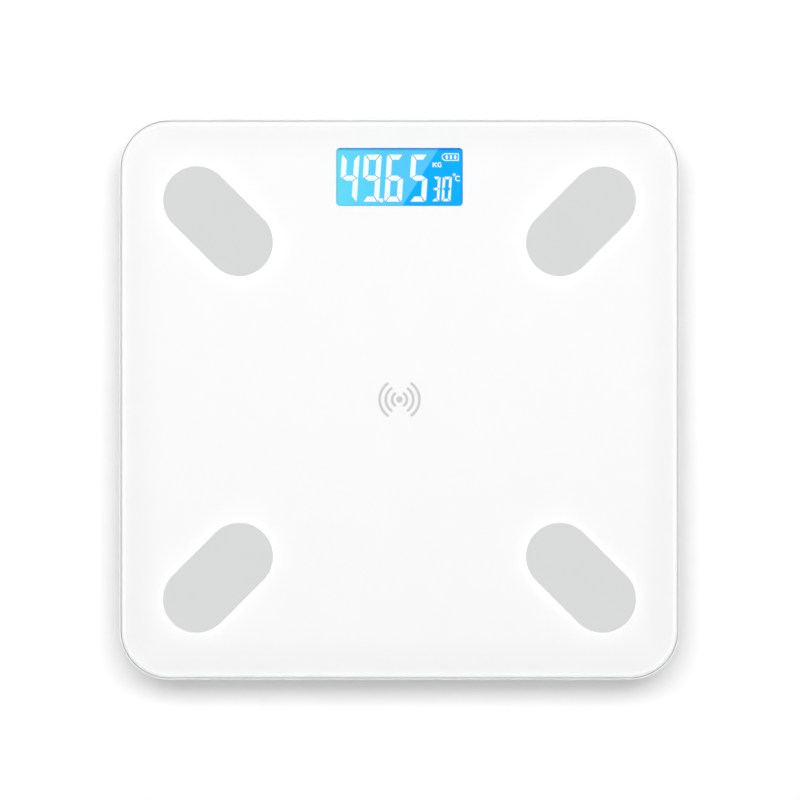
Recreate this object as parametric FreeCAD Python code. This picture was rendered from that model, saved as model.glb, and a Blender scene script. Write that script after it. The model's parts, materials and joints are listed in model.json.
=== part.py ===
# Digital bathroom scale: a square glass platform with four body-fat electrodes and a
# backlit display, bonded into a shallow plastic housing that stands on four load-cell feet.
# Millimetres. The origin is on the floor under the middle of the scale, +Z is up, and +Y
# points to the edge where the display is.
import FreeCAD
import Part
import math
import os

# ---------------------------------------------------------------- driving dimensions
WIDTH = 260.0                # the housing is a square of this side
CORNER_R = 23.0              # radius of its four vertical corners
HEIGHT = 24.0                # from the floor to the glass

GLASS_T = 5.0                # thickness of the tempered glass
GLASS_GAP = 0.3              # between the glass and the rim around it
RIM_T = 0.65                 # thickness of that rim
BEVEL_W = 2.0                # width of the glass's ground bevel, seen from above
BEVEL_H = 1.2                # how far the bevel comes down the edge
PRINT_T = 0.12               # white ink under the glass, with its primer
PRIMER_T = 0.02              # clear primer between glass and ink, which isn't modelled
TAPE_T = 0.78                # foam tape under the ink

BASE_Z = 4.0                 # underside of the housing
FLOOR_T = 2.0                # thickness of its floor
SIDE_T = 2.0                 # thickness of its outer wall
CHAMFER_W = 9.0              # how far the underside draws in from the wall
CHAMFER_H = 7.0              # how high that slope rises
RIM_Z = HEIGHT - 1.6         # top of the rim around the glass

ELECTRODE_X = 84.1           # centre of each foot electrode
ELECTRODE_Y = 82.6
ELECTRODE_L = 59.2           # its length and width, as a slot with round ends
ELECTRODE_W = 31.3
ELECTRODE_T = 0.25
STUD_R = 1.6                 # contact stud under each electrode

WINDOW_Y = 103.5             # centre of the display window
WINDOW_W = 58.9
WINDOW_D = 27.0
WINDOW_R = 1.8

FOOT_XY = 93.0               # each foot stands at plus or minus this in X and Y
WELL_R = 22.1                # inside radius of the well that a foot works in
WELL_CEILING_Z = 13.0        # the load cell hangs under this
FOOT_DROP = 0.5              # how far a foot sinks when the scale is lifted

BAY_Y = 20.0                 # centre of the battery bay
CELL_R = 5.2                 # AAA cell
CELL_L = 43.7
CELL_NUB_R = 1.9
CELL_NUB_L = 0.8
CELL_SPACING = 11.5
CELL_Z = 11.7                # height of the cells' axes

BUTTON_X = 30.0              # unit button, on the underside
BUTTON_Y = 102.0
BUTTON_TRAVEL = 0.6

WIRE_R = 0.55

# ---------------------------------------------------------------- heights that follow
GLASS_Z = HEIGHT - GLASS_T               # underside of the glass
PRINT_Z = GLASS_Z - PRINT_T              # underside of the ink
PRINT_TOP_Z = GLASS_Z - PRIMER_T
SEAT_Z = PRINT_Z - TAPE_T                # ledge that the tape sits on
FLOOR_Z = BASE_Z + FLOOR_T               # inside of the floor
GLASS_W = WIDTH - 2 * (RIM_T + GLASS_GAP)
GLASS_R = CORNER_R - RIM_T - GLASS_GAP
INNER_WALL_OUT = 247.6                   # the wall that carries the tape's inner edge
INNER_WALL_IN = 244.4
WELL_T = 2.0
WELL_TOP_Z = WELL_CEILING_Z + WELL_T
PCB_TOP_Z = 14.0
PCB_T = 1.6
PCB_Z = PCB_TOP_Z - PCB_T
LCD_TOP_Z = 18.2

CORNERS = {"front_left": (-1, -1), "front_right": (1, -1),
           "back_left": (-1, 1), "back_right": (1, 1)}


# ---------------------------------------------------------------- shape helpers
def vec(x, y, z=0.0):
    return FreeCAD.Vector(x, y, z)


def outline(width, depth, radius, z, x=0.0, y=0.0):
    """Closed wire: a rectangle with round corners, at height z."""
    hx, hy = width / 2, depth / 2
    lean = radius * math.sin(math.pi / 4)
    edges = []
    for k in range(4):
        turn = FreeCAD.Rotation(vec(0, 0, 1), 90 * k)
        ax, ay = (hx, hy) if k % 2 == 0 else (hy, hx)
        side_start = vec(ax, -ay + radius)
        side_end = vec(ax, ay - radius)
        mid = vec(ax - radius + lean, ay - radius + lean)
        arc_end = vec(ax - radius, ay)
        place = [turn.multVec(p) + vec(x, y, z) for p in (side_start, side_end, mid, arc_end)]
        edges.append(Part.LineSegment(place[0], place[1]).toShape())
        edges.append(Part.Arc(place[1], place[2], place[3]).toShape())
    return Part.Wire(edges)


def plate(width, depth, radius, z_low, z_high, x=0.0, y=0.0):
    """Upright block with round corners between two heights."""
    return Part.Face(outline(width, depth, radius, z_low, x, y)).extrude(vec(0, 0, z_high - z_low))


def stacked(sections):
    """Solid with straight walls from one outline to the next, each (size, radius, z)."""
    return Part.makeLoft([outline(s, s, r, z) for s, r, z in sections], True, True)


def box(x_low, x_high, y_low, y_high, z_low, z_high):
    return Part.makeBox(x_high - x_low, y_high - y_low, z_high - z_low, vec(x_low, y_low, z_low))


def disc(radius, z_low, z_high, x=0.0, y=0.0):
    return Part.makeCylinder(radius, z_high - z_low, vec(x, y, z_low))


def ring(outer, inner, z_low, z_high, x=0.0, y=0.0):
    return disc(outer, z_low, z_high, x, y).cut(disc(inner, z_low, z_high, x, y))


def slot(length, width, z_low, z_high):
    """Upright slot with round ends along X, centred on the origin."""
    run = (length - width) / 2
    middle = box(-run, run, -width / 2, width / 2, z_low, z_high)
    ends = [disc(width / 2, z_low, z_high, s * run, 0) for s in (-1, 1)]
    return joined([middle] + ends)


def joined(shapes):
    return shapes[0].multiFuse(shapes[1:]).removeSplitter()


def moved(shape, x, y, z=0.0, angle=0.0):
    """Copy turned about the vertical axis, then shifted."""
    copy = shape.copy()
    turn = FreeCAD.Rotation(vec(0, 0, 1), angle)
    copy.Placement = FreeCAD.Placement(vec(x, y, z), turn).multiply(shape.Placement)
    return copy


def at_foot(shape, corner):
    """Copy of a shape drawn about a well's axis, with +X pointing away from the scale's middle."""
    sx, sy = corner
    return moved(shape, sx * FOOT_XY, sy * FOOT_XY, angle=0 if sx > 0 else 180)


def edges_at(shape, z):
    """Edges that lie wholly at one height."""
    return [e for e in shape.Edges
            if abs(e.BoundBox.ZMin - z) < 1e-4 and abs(e.BoundBox.ZMax - z) < 1e-4]


def bent_strip(points, thickness, width):
    """Strip of that thickness which follows points in XZ, centred on y = 0."""
    offset = []
    for i, p in enumerate(points):
        before = points[max(i - 1, 0)]
        after = points[min(i + 1, len(points) - 1)]
        a = math.atan2(p[1] - before[1], p[0] - before[0]) if i else None
        b = math.atan2(after[1] - p[1], after[0] - p[0]) if i < len(points) - 1 else None
        a, b = (b if a is None else a), (a if b is None else b)
        half = (b - a + math.pi) % (2 * math.pi) - math.pi
        aim = a + half / 2 + math.pi / 2
        reach = thickness / math.cos(half / 2)
        offset.append((p[0] + reach * math.cos(aim), p[1] + reach * math.sin(aim)))
    loop = [vec(px, -width / 2, pz) for px, pz in points + offset[::-1]]
    face = Part.Face(Part.makePolygon(loop + loop[:1]))
    return face.extrude(vec(0, width, 0))


def pan_screw(head_r, head_h, shank_r, shank_l):
    """Pan-head screw pointing down, the underside of its head at z = 0, with a cross recess."""
    head = disc(head_r, 0, head_h)
    head = head.makeFillet(head_h * 0.45, edges_at(head, head_h))
    shank = disc(shank_r, -shank_l + shank_r, 0)
    tip = Part.makeCone(0.3, shank_r, shank_r, vec(0, 0, -shank_l))
    screw = joined([head, shank, tip])
    for angle in (0, 90):
        arm = moved(box(-head_r * 0.55, head_r * 0.55, -0.3, 0.3, head_h * 0.4, head_h), 0, 0,
                    angle=angle)
        screw = screw.cut(arm)
    return screw


def wire(route, radius, bend=3.0):
    """Round wire along straight runs, with an arc at each turn as large as its runs allow."""
    points = [vec(*p) for p in route]
    edges, start = [], points[0]
    for before, corner, after in zip(points, points[1:], points[2:]):
        back, ahead = before - corner, after - corner
        turn = math.pi - back.getAngle(ahead)
        room = 0.45 * min(back.Length, ahead.Length)
        arc_r = min(bend, room / math.tan(turn / 2))
        cut = arc_r * math.tan(turn / 2)
        back.normalize()
        ahead.normalize()
        first, last = corner + back * cut, corner + ahead * cut
        inward = back + ahead
        inward.normalize()
        middle = corner + inward * (arc_r / math.cos(turn / 2) - arc_r)
        edges.append(Part.LineSegment(start, first).toShape())
        edges.append(Part.Arc(first, middle, last).toShape())
        start = last
    edges.append(Part.LineSegment(start, points[-1]).toShape())
    section = Part.Wire(Part.makeCircle(radius, points[0], points[1] - points[0]))
    return Part.Wire(edges).makePipeShell([section], True, True)


def coil(radius, wire_r, height, turns):
    """Compression spring about +Z from z = 0, with 12 short arcs to each turn."""
    steps = round(12 * turns)
    outer = radius / math.cos(math.pi / 12)
    return wire([(outer * math.cos(k * math.pi / 6), outer * math.sin(k * math.pi / 6),
                  height * k / steps) for k in range(steps + 1)], wire_r)


# ---------------------------------------------------------------- platform
def glass_platform():
    """Tempered glass with a ground bevel above and a small arris below."""
    arris = 0.4
    glass = stacked([(GLASS_W - 2 * arris, GLASS_R - arris, GLASS_Z),
                     (GLASS_W, GLASS_R, GLASS_Z + arris),
                     (GLASS_W, GLASS_R, HEIGHT - BEVEL_H),
                     (GLASS_W - 2 * BEVEL_W, GLASS_R - BEVEL_W, HEIGHT)])
    return glass.cut([disc(STUD_R + 0.4, GLASS_Z - 1, HEIGHT + 1, sx * ELECTRODE_X, sy * ELECTRODE_Y)
                      for sx, sy in CORNERS.values()])


def electrode(corner):
    """Conductive foot pad on top of the glass, with its stud through the glass."""
    sx, sy = corner
    pad = slot(ELECTRODE_L, ELECTRODE_W, HEIGHT, HEIGHT + ELECTRODE_T)
    pad = pad.makeChamfer(0.1, edges_at(pad, HEIGHT + ELECTRODE_T))
    stud = disc(STUD_R, SEAT_Z - 0.3, HEIGHT)
    return moved(joined([pad, stud]), sx * ELECTRODE_X, sy * ELECTRODE_Y, angle=45 * sx * sy)


def radio_mark():
    """Printed mark: a dot between three pairs of round-ended arcs."""
    stroke = 0.62
    span = 53.0
    z_low, z_high = PRINT_Z, PRINT_TOP_Z
    shapes = [disc(1.5, z_low, z_high)]
    for radius in (3.45, 6.4, 9.25):
        band = ring(radius + stroke, radius - stroke, z_low, z_high)
        end_x = radius * math.cos(math.radians(span))
        end_y = radius * math.sin(math.radians(span))
        for side in (-1, 1):
            far = 2 * radius
            wedge_points = [vec(0, 0, z_low), vec(side * far, -far * end_y / end_x, z_low),
                            vec(side * far, far * end_y / end_x, z_low), vec(0, 0, z_low)]
            wedge = Part.Face(Part.makePolygon(wedge_points)).extrude(vec(0, 0, z_high - z_low))
            tips = [disc(stroke, z_low, z_high, side * end_x, t * end_y) for t in (-1, 1)]
            shapes.append(joined([band.common(wedge)] + tips))
    return shapes


def white_print():
    """Ink layer under the glass, open at the display, the mark and the four studs."""
    ink = plate(GLASS_W - 1.2, GLASS_W - 1.2, GLASS_R - 0.6, PRINT_Z, PRINT_TOP_Z)
    window = plate(WINDOW_W, WINDOW_D, WINDOW_R, PRINT_Z, PRINT_TOP_Z, 0, WINDOW_Y)
    studs = [disc(STUD_R + 0.9, PRINT_Z, PRINT_TOP_Z, sx * ELECTRODE_X, sy * ELECTRODE_Y)
             for sx, sy in CORNERS.values()]
    return ink.cut([window] + studs + radio_mark())


SUPPORT_POSTS = ((14.0, -10.0), (12.0, 12.0), (-10.0, 14.0))    # on top of each well
POST_R = 4.0


def support_places():
    """Middle of every post that holds the glass up over a well."""
    return [(sx * (FOOT_XY + px), sy * (FOOT_XY + py))
            for sx, sy in CORNERS.values() for px, py in SUPPORT_POSTS]


def glass_tape():
    """Foam tape frame on the seat, and a round pad on each support post."""
    outer = plate(GLASS_W - 2.0, GLASS_W - 2.0, GLASS_R - 1.0, SEAT_Z, PRINT_Z)
    inner = plate(INNER_WALL_IN + 0.4, INNER_WALL_IN + 0.4, 15.4, SEAT_Z, PRINT_Z)
    return [outer.cut(inner)] + [disc(POST_R - 0.3, SEAT_Z, PRINT_Z, x, y)
                                 for x, y in support_places()]


# ---------------------------------------------------------------- housing
RIB_X = 52.0                 # stiffening ribs on the floor
RIB_T = 1.6
RIB_H = 6.0
BAY_X = 27.0                 # half length of the battery bay
BAY_FRONT = -20.5            # its walls, from BAY_Y
BAY_BACK = 18.2
BAY_TOP_Z = 17.2
BAY_T = 1.2
MOUTH = 16.0                 # half width of its mouth in the floor
BOSS_Y = 19.6                # retainer screws, from a foot's axis
BOSS_R = 2.3
PCB_X = 44.0                 # half width of the circuit board
PCB_FRONT, PCB_BACK = 77.5, 119.5
PCB_SCREWS = [(sx * 39.0, y) for sx in (-1, 1) for y in (81.8, 115.4)]
SCREW_BORE_R = 1.2
BUNDLE_X = 63.5              # where the wire bundles run past the ribs
BUNDLE_BACK_Y = 68.0
BUNDLE_FRONT_Y = 60.5


def housing_skin():
    """Outer shape: upright sides on a sloping lower edge, all edges softened."""
    skin = stacked([(WIDTH - 2 * CHAMFER_W, CORNER_R - CHAMFER_W, BASE_Z),
                    (WIDTH, CORNER_R, BASE_Z + CHAMFER_H),
                    (WIDTH, CORNER_R, RIM_Z)])
    skin = skin.makeFillet(5.0, edges_at(skin, BASE_Z + CHAMFER_H))
    skin = skin.makeFillet(2.5, edges_at(skin, BASE_Z))
    return skin.makeFillet(0.4, edges_at(skin, RIM_Z))


def seat_channel():
    """Space between the outer wall and the inner wall under the tape, crossed by ribs."""
    low = BASE_Z + CHAMFER_H + 2.0
    outer = WIDTH - 2 * SIDE_T
    gap = plate(outer, outer, CORNER_R - SIDE_T, low, SEAT_Z)
    gap = gap.cut(plate(INNER_WALL_OUT, INNER_WALL_OUT, 16.8, low, SEAT_Z))
    ribs = []
    for k in range(-4, 5):
        place = k * 24.0
        ribs.append(box(place - 0.7, place + 0.7, -WIDTH / 2, WIDTH / 2, low, SEAT_Z))
        ribs.append(box(-WIDTH / 2, WIDTH / 2, place - 0.7, place + 0.7, low, SEAT_Z))
    return gap.cut(ribs)


def main_cavity():
    soft = 4.0
    return stacked([(INNER_WALL_IN - 2 * soft, 15.2 - soft, FLOOR_Z),
                    (INNER_WALL_IN, 15.2, FLOOR_Z + soft),
                    (INNER_WALL_IN, 15.2, SEAT_Z + 0.01)])


def floor_ribs():
    """Two pairs of crossing ribs, notched where the wires pass."""
    reach = INNER_WALL_IN / 2 + 1.0
    top = FLOOR_Z + RIB_H
    ribs = []
    for s in (-1, 1):
        place = s * RIB_X
        along_y = box(place - RIB_T / 2, place + RIB_T / 2, -reach, reach, FLOOR_Z - 0.5, top)
        along_x = box(-reach, reach, place - RIB_T / 2, place + RIB_T / 2, FLOOR_Z - 0.5, top)
        notches = [box(place - 2, place + 2, BUNDLE_FRONT_Y - 5.0, BUNDLE_BACK_Y + 5.0,
                       FLOOR_Z, FLOOR_Z + 3.0)]
        ribs.append(along_y.cut(notches))
        notches = [box(t * BUNDLE_X - 6.0, t * BUNDLE_X + 6.0, place - 2, place + 2,
                       FLOOR_Z, FLOOR_Z + 3.0) for t in (-1, 1)]
        notches.append(box(-5.0, 5.0, place - 2, place + 2, FLOOR_Z, FLOOR_Z + 3.0))
        ribs.append(along_x.cut(notches))
    return ribs


def bay_block():
    return box(-BAY_X - 1.6, BAY_X + 1.6, BAY_Y + BAY_FRONT - 1.6, BAY_Y + BAY_BACK + 1.6,
               FLOOR_Z - 0.5, BAY_TOP_Z + BAY_T)


def bay_space():
    """Room for the cells, the mouth in the floor, the cover's recess and a finger scoop."""
    room = box(-BAY_X, BAY_X, BAY_Y + BAY_FRONT, BAY_Y + BAY_BACK, FLOOR_Z, BAY_TOP_Z)
    mouth = box(-BAY_X, BAY_X, BAY_Y - MOUTH, BAY_Y + MOUTH, BASE_Z - 1, FLOOR_Z)
    recess = box(-BAY_X - 2, BAY_X + 2, BAY_Y - MOUTH, BAY_Y + MOUTH, BASE_Z - 1, BASE_Z + 1.3)
    scoop = disc(9.0, BASE_Z - 1, BASE_Z + 1.1, 0, BAY_Y + MOUTH)
    tabs = [box(-BAY_X - 1.8, -BAY_X + 0.1, BAY_Y + s * CELL_SPACING / 2 - 1.6,
                BAY_Y + s * CELL_SPACING / 2 + 1.6, CELL_Z - 3.4, CELL_Z - 2.4) for s in (-1, 1)]
    return [room, mouth, recess, scoop] + tabs


def well_inside():
    """Space in one well: the bore, less the rails and screw bosses that hold the load cell."""
    space = disc(WELL_R, BASE_Z - 1, WELL_CEILING_Z)
    rails = [box(-15.0, 15.0, min(s * 12.0, s * 17.0), max(s * 12.0, s * 17.0),
                 CELL_PLATE_TOP, WELL_CEILING_Z) for s in (-1, 1)]
    bosses = [disc(BOSS_R, CELL_PLATE_Z, WELL_CEILING_Z, 0, s * BOSS_Y) for s in (-1, 1)]
    space = space.cut(rails + bosses)
    bores = [disc(SCREW_BORE_R, CELL_PLATE_Z, WELL_CEILING_Z + 0.8, 0, s * BOSS_Y) for s in (-1, 1)]
    wire_way = moved(slot(9.0, 4.4, WELL_CEILING_Z - 1, WELL_TOP_Z + 1), -6.5, 0, angle=90)
    return joined([space, wire_way] + bores)


def base_housing():
    body = housing_skin()
    pocket_w = WIDTH - 2 * RIM_T
    pocket = plate(pocket_w, pocket_w, CORNER_R - RIM_T, SEAT_Z, HEIGHT)
    pocket = pocket.makeFillet(0.3, edges_at(pocket, SEAT_Z))
    body = body.cut([pocket, seat_channel(), main_cavity()])
    adds = floor_ribs() + [bay_block()]
    adds += [disc(WELL_R + WELL_T, FLOOR_Z - 0.5, WELL_TOP_Z, sx * FOOT_XY, sy * FOOT_XY)
             for sx, sy in CORNERS.values()]
    adds += [disc(POST_R, WELL_TOP_Z - 0.5, SEAT_Z, x, y) for x, y in support_places()]
    adds += [disc(3.0, FLOOR_Z - 0.5, PCB_Z, x, y) for x, y in PCB_SCREWS]
    adds.append(ring(8.2, 6.4, FLOOR_Z - 0.5, FLOOR_Z + 1.6, BUTTON_X, BUTTON_Y))
    body = body.multiFuse(adds).removeSplitter()
    cuts = bay_space() + [at_foot(well_inside(), c) for c in CORNERS.values()]
    cuts += [disc(SCREW_BORE_R, FLOOR_Z + 1.2, PCB_Z, x, y) for x, y in PCB_SCREWS]
    cuts.append(disc(4.7, BASE_Z - 1, FLOOR_Z, BUTTON_X, BUTTON_Y))
    dish_r, dish_h = 7.5, 0.6
    sphere_r = (dish_r ** 2 + dish_h ** 2) / (2 * dish_h)
    cuts.append(Part.makeSphere(sphere_r, vec(BUTTON_X, BUTTON_Y, BASE_Z + dish_h - sphere_r)))
    cuts.append(plate(78, 40, 3, BASE_Z - 1, BASE_Z + 0.35, 0, -50))
    return body.cut(cuts).removeSplitter()


# ---------------------------------------------------------------- load cells and feet
CELL_PLATE_Z = 8.7           # the stamped plate lies between these heights
CELL_PLATE_TOP = 10.5
PLATE_W = 34.0
TONGUE_W = 12.0
RETAINER_Z = 6.9
CUP_Z = 1.0                  # underside of the foot's plastic cup
CUP_TOP_Z = 3.4
CUP_R = 21.5
BOSS_H = 0.6                 # pressure boss under the plate's tongue
POST_TOP_Z = CELL_PLATE_Z - BOSS_H - 0.05
HOOK_Z = CELL_PLATE_Z + FOOT_DROP + 0.1
HOOK_Y_HALF = 3.5
PAD_T = 1.8


def load_cell():
    """Stamped steel plate: a frame with a tongue that the foot pushes up, and its pressure boss."""
    frame = plate(PLATE_W, PLATE_W, 5.0, CELL_PLATE_Z, CELL_PLATE_TOP)
    frame = frame.makeChamfer(0.3, edges_at(frame, CELL_PLATE_TOP))
    window = plate(20.0, 20.0, 2.0, CELL_PLATE_Z, CELL_PLATE_TOP, 1.5, 0)
    tongue = plate(20.0, TONGUE_W, 3.0, CELL_PLATE_Z, CELL_PLATE_TOP, -2.0, 0)
    boss = Part.makeCone(3.0, 4.0, BOSS_H, vec(0, 0, CELL_PLATE_Z - BOSS_H))
    return joined([frame.cut(window), tongue, boss])


def gauge_seal():
    """White sealant over the two strain gauges at the root of the tongue."""
    seal = plate(5.5, 9.0, 1.8, CELL_PLATE_TOP, CELL_PLATE_TOP + 0.7, -6.5, 0)
    return seal.makeFillet(0.4, edges_at(seal, CELL_PLATE_TOP + 0.7))


def load_cell_retainer():
    """Plastic disc screwed to the well's bosses under the load cell; the foot hooks over it."""
    body = disc(WELL_R - 0.4, RETAINER_Z, CELL_PLATE_Z)
    body = body.makeChamfer(0.3, edges_at(body, RETAINER_Z))
    cuts = [disc(8.5, RETAINER_Z, CELL_PLATE_Z)]
    cuts += [box(min(s * 17.9, s * 20.4), max(s * 17.9, s * 20.4), -HOOK_Y_HALF - 0.5,
                 HOOK_Y_HALF + 0.5, RETAINER_Z, CELL_PLATE_Z) for s in (-1, 1)]
    cuts += [disc(SCREW_BORE_R + 0.2, RETAINER_Z, CELL_PLATE_Z, 0, s * BOSS_Y) for s in (-1, 1)]
    return body.cut(cuts)


def retainer_screws():
    screw = pan_screw(2.2, 1.3, SCREW_BORE_R - 0.05, 5.0)
    screw.rotate(vec(0, 0, 0), vec(1, 0, 0), 180)
    return [moved(screw, sx * FOOT_XY, sy * FOOT_XY + s * BOSS_Y, RETAINER_Z)
            for sx, sy in CORNERS.values() for s in (-1, 1)]


def foot_cup():
    """Plastic foot: a disc with a pressure post, two snap hooks and a groove for its pad."""
    base = disc(CUP_R, CUP_Z, CUP_TOP_Z)
    base = base.makeFillet(0.8, edges_at(base, CUP_Z))
    skirt = ring(CUP_R, 20.1, CUP_TOP_Z - 0.5, 5.9)
    skirt = skirt.cut([box(-4.5, 4.5, -CUP_R, CUP_R, CUP_TOP_Z, 6.0)])
    post = disc(5.0, CUP_TOP_Z - 0.5, POST_TOP_Z)
    post = post.makeChamfer(0.4, edges_at(post, POST_TOP_Z))
    shapes = [base, skirt, post]
    for k in range(8):
        rib = box(4.5, 18.2, -0.6, 0.6, CUP_TOP_Z - 0.5, 4.6)
        shapes.append(moved(rib, 0, 0, angle=22.5 + 45 * k))
    hook_points = [vec(18.4, 0, CUP_TOP_Z - 0.5), vec(19.9, 0, CUP_TOP_Z - 0.5),
                   vec(19.9, 0, HOOK_Z), vec(21.1, 0, HOOK_Z), vec(21.1, 0, HOOK_Z + 0.4),
                   vec(19.2, 0, HOOK_Z + 1.6), vec(18.4, 0, HOOK_Z + 1.6)]
    hook = Part.Face(Part.makePolygon(hook_points + hook_points[:1]))
    hook = hook.extrude(vec(0, 2 * HOOK_Y_HALF, 0))
    hook.translate(vec(0, -HOOK_Y_HALF, 0))
    shapes += [hook, moved(hook, 0, 0, angle=180)]
    cup = joined(shapes)
    return cup.cut(ring(20.2, 10.0, CUP_Z - 1, PAD_T))


def foot_pad():
    """Rubber ring in the foot's groove, with two tread grooves."""
    pad = ring(20.0, 10.2, 0, PAD_T)
    pad = pad.makeFillet(0.35, edges_at(pad, 0))
    for radius in (13.0, 16.6):
        pad = pad.cut(ring(radius + 0.6, radius - 0.6, -1, 0.6))
    return pad


# ---------------------------------------------------------------- display
LCD_W, LCD_D = 64.0, 32.0
LCD_REAR_D = 28.4            # the rear plate is narrower, so that the contacts lie bare
LCD_MID_Z = 17.3             # where the two plates meet
LCD_Z = 16.4
FILM_T = 0.2                 # polariser, diffuser and reflector
GUIDE_W, GUIDE_D = 58.0, 27.6
GUIDE_Z, GUIDE_TOP_Z = 14.45, 16.15
HOLDER_W, HOLDER_D = 67.0, 35.0
LAMP_SPACING = 14.0
ZEBRA_Y = 15.1               # contact rubber, from the window's middle
ZEBRA_W = 1.5


def lcd_panel():
    """Two glass plates; the front one overhangs where the contacts are."""
    front = plate(LCD_W, LCD_D, 0.3, LCD_MID_Z, LCD_TOP_Z, 0, WINDOW_Y)
    rear = plate(LCD_W - 2.0, LCD_REAR_D, 0.3, LCD_Z, LCD_MID_Z, 0, WINDOW_Y)
    return joined([front, rear])


def lcd_polariser():
    return plate(LCD_W - 2.5, LCD_D - 2.5, 0.5, LCD_TOP_Z, LCD_TOP_Z + FILM_T, 0, WINDOW_Y)


def light_guide():
    """Clear backlight plate, bevelled where the lamps shine in."""
    guide = plate(GUIDE_W, GUIDE_D, 0.5, GUIDE_Z, GUIDE_TOP_Z, 0, WINDOW_Y)
    return guide.cut(plate(3.0, 20.0, 0.4, GUIDE_Z, GUIDE_Z + 0.55, -GUIDE_W / 2, WINDOW_Y))


def diffuser():
    return plate(GUIDE_W, GUIDE_D, 0.5, GUIDE_TOP_Z, GUIDE_TOP_Z + FILM_T, 0, WINDOW_Y)


def reflector():
    return plate(GUIDE_W, GUIDE_D, 0.5, GUIDE_Z - FILM_T, GUIDE_Z, 0, WINDOW_Y)


def backlight_lamps():
    """Two blue lamps at the left end of the light guide."""
    lamps = []
    for s in (-1, 1):
        y = WINDOW_Y + s * LAMP_SPACING / 2
        body = box(-30.9, -29.3, y - 1.9, y + 1.9, PCB_TOP_Z, 15.6)
        lamps.append(body.cut(box(-29.6, -29.3, y - 1.4, y + 1.4, 14.4, 15.2)))
    return lamps


def zebra_strips():
    """Rubber strips that join the panel's edge contacts to the circuit board."""
    middles = [WINDOW_Y + s * ZEBRA_Y for s in (-1, 1)]
    return [box(-29.5, 29.5, y - ZEBRA_W / 2, y + ZEBRA_W / 2, PCB_TOP_Z, LCD_MID_Z)
            for y in middles]


def lcd_holder():
    """Plastic frame that holds the panel and backlight on the circuit board."""
    frame = plate(HOLDER_W, HOLDER_D, 1.0, PCB_TOP_Z, LCD_TOP_Z - 0.1, 0, WINDOW_Y)
    frame = frame.makeChamfer(0.3, edges_at(frame, LCD_TOP_Z - 0.1))
    panel_room = plate(LCD_W + 0.2, LCD_D + 0.2, 0.3, LCD_MID_Z, GLASS_Z, 0, WINDOW_Y)
    inner_room = plate(LCD_W - 1.6, LCD_D - 0.1, 0.5, PCB_TOP_Z - 1, LCD_MID_Z + 0.1,
                       0, WINDOW_Y)
    return frame.cut([panel_room, inner_room])


def window_gasket():
    """Black foam frame between the panel and the print, so that no dust or light gets in."""
    outer = plate(LCD_W + 1.0, LCD_D + 1.0, 1.5, LCD_TOP_Z + FILM_T, PRINT_Z, 0, WINDOW_Y)
    inner = plate(WINDOW_W + 0.8, WINDOW_D + 0.8, 1.8, LCD_TOP_Z, PRINT_Z + 1, 0, WINDOW_Y)
    return outer.cut(inner)


# ---------------------------------------------------------------- circuit board
CONNECTOR_W, CONNECTOR_D, CONNECTOR_H = 7.8, 6.0, 3.6
CONNECTOR_Y = PCB_FRONT + 1.0
PLUG_Z = PCB_TOP_Z + 1.8                 # height at which the wires go in
RISE_Y = 74.5                            # where they come up from the floor
BACK_PLUG_X, FRONT_PLUG_X = 29.5, 18.0
BLOB_X, BLOB_Y = -8.0, 100.0             # resin drop over the controller
RADIO_X = 38.8
CAN_X = -39.2                            # crystal and capacitors
SWITCH_H = 3.5                           # unit switch under the board, and its plunger
PLUNGER_LOW, PLUNGER_TOP = 4.3, 1.8      # how far below the board the plunger's ends are


def main_pcb():
    board = plate(2 * PCB_X, PCB_BACK - PCB_FRONT, 2.0, PCB_Z, PCB_TOP_Z,
                  0, (PCB_FRONT + PCB_BACK) / 2)
    return board.cut([disc(1.6, PCB_Z - 1, PCB_TOP_Z + 1, x, y) for x, y in PCB_SCREWS])


def pcb_screws():
    screw = pan_screw(2.3, 1.5, SCREW_BORE_R - 0.05, 5.5)
    return [moved(screw, x, y, PCB_TOP_Z) for x, y in PCB_SCREWS]


def controller_blob():
    """Black resin dome over the controller die, under the board."""
    sphere_r, drop_h = 20.0, 1.6
    blob = Part.makeSphere(sphere_r, vec(BLOB_X, BLOB_Y, PCB_Z - drop_h + sphere_r))
    return blob.common(disc(9, PCB_Z - 2, PCB_Z, BLOB_X, BLOB_Y))


def radio_module():
    """Small radio board, bare at the end where its aerial is."""
    return plate(9.0, 16.0, 0.5, PCB_TOP_Z, PCB_TOP_Z + 0.8, RADIO_X, 101)


def radio_can():
    can = plate(7.6, 9.0, 0.8, PCB_TOP_Z + 0.8, PCB_TOP_Z + 2.4, RADIO_X, 98.2)
    return can.makeFillet(0.35, edges_at(can, PCB_TOP_Z + 2.4))


def crystal():
    can = slot(10.6, 4.4, 0, 2.9)
    can = can.makeFillet(0.5, edges_at(can, 2.9))
    flange = slot(11.2, 4.9, 0, 0.5)
    return moved(joined([can, flange]), CAN_X, 93, PCB_TOP_Z, angle=90)


def capacitors():
    """Two aluminium electrolytic cans beside the display."""
    cans = []
    for y in (103.0, 109.0):
        can = disc(2.0, PCB_TOP_Z, PCB_TOP_Z + 3.6, CAN_X, y)
        can = can.makeFillet(0.3, edges_at(can, PCB_TOP_Z + 3.6))
        cans.append(can)
    return cans


def chip_parts():
    """Small ceramic parts under the board, in two rows beside the resin dome."""
    return [box(x - 0.8, x + 0.8, y - 0.4, y + 0.4, PCB_Z - 0.5, PCB_Z)
            for x in (-24.0, -20.5, 6.5, 10.0) for y in (90.0, 94.0, 98.0, 102.0, 106.0)]


def sensor_plugs():
    """Four-way sockets: two for the back corners outside, two for the front corners inside."""
    places = (-BACK_PLUG_X, -FRONT_PLUG_X, FRONT_PLUG_X, BACK_PLUG_X)
    return [socket(CONNECTOR_W, x) for x in places]


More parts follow.
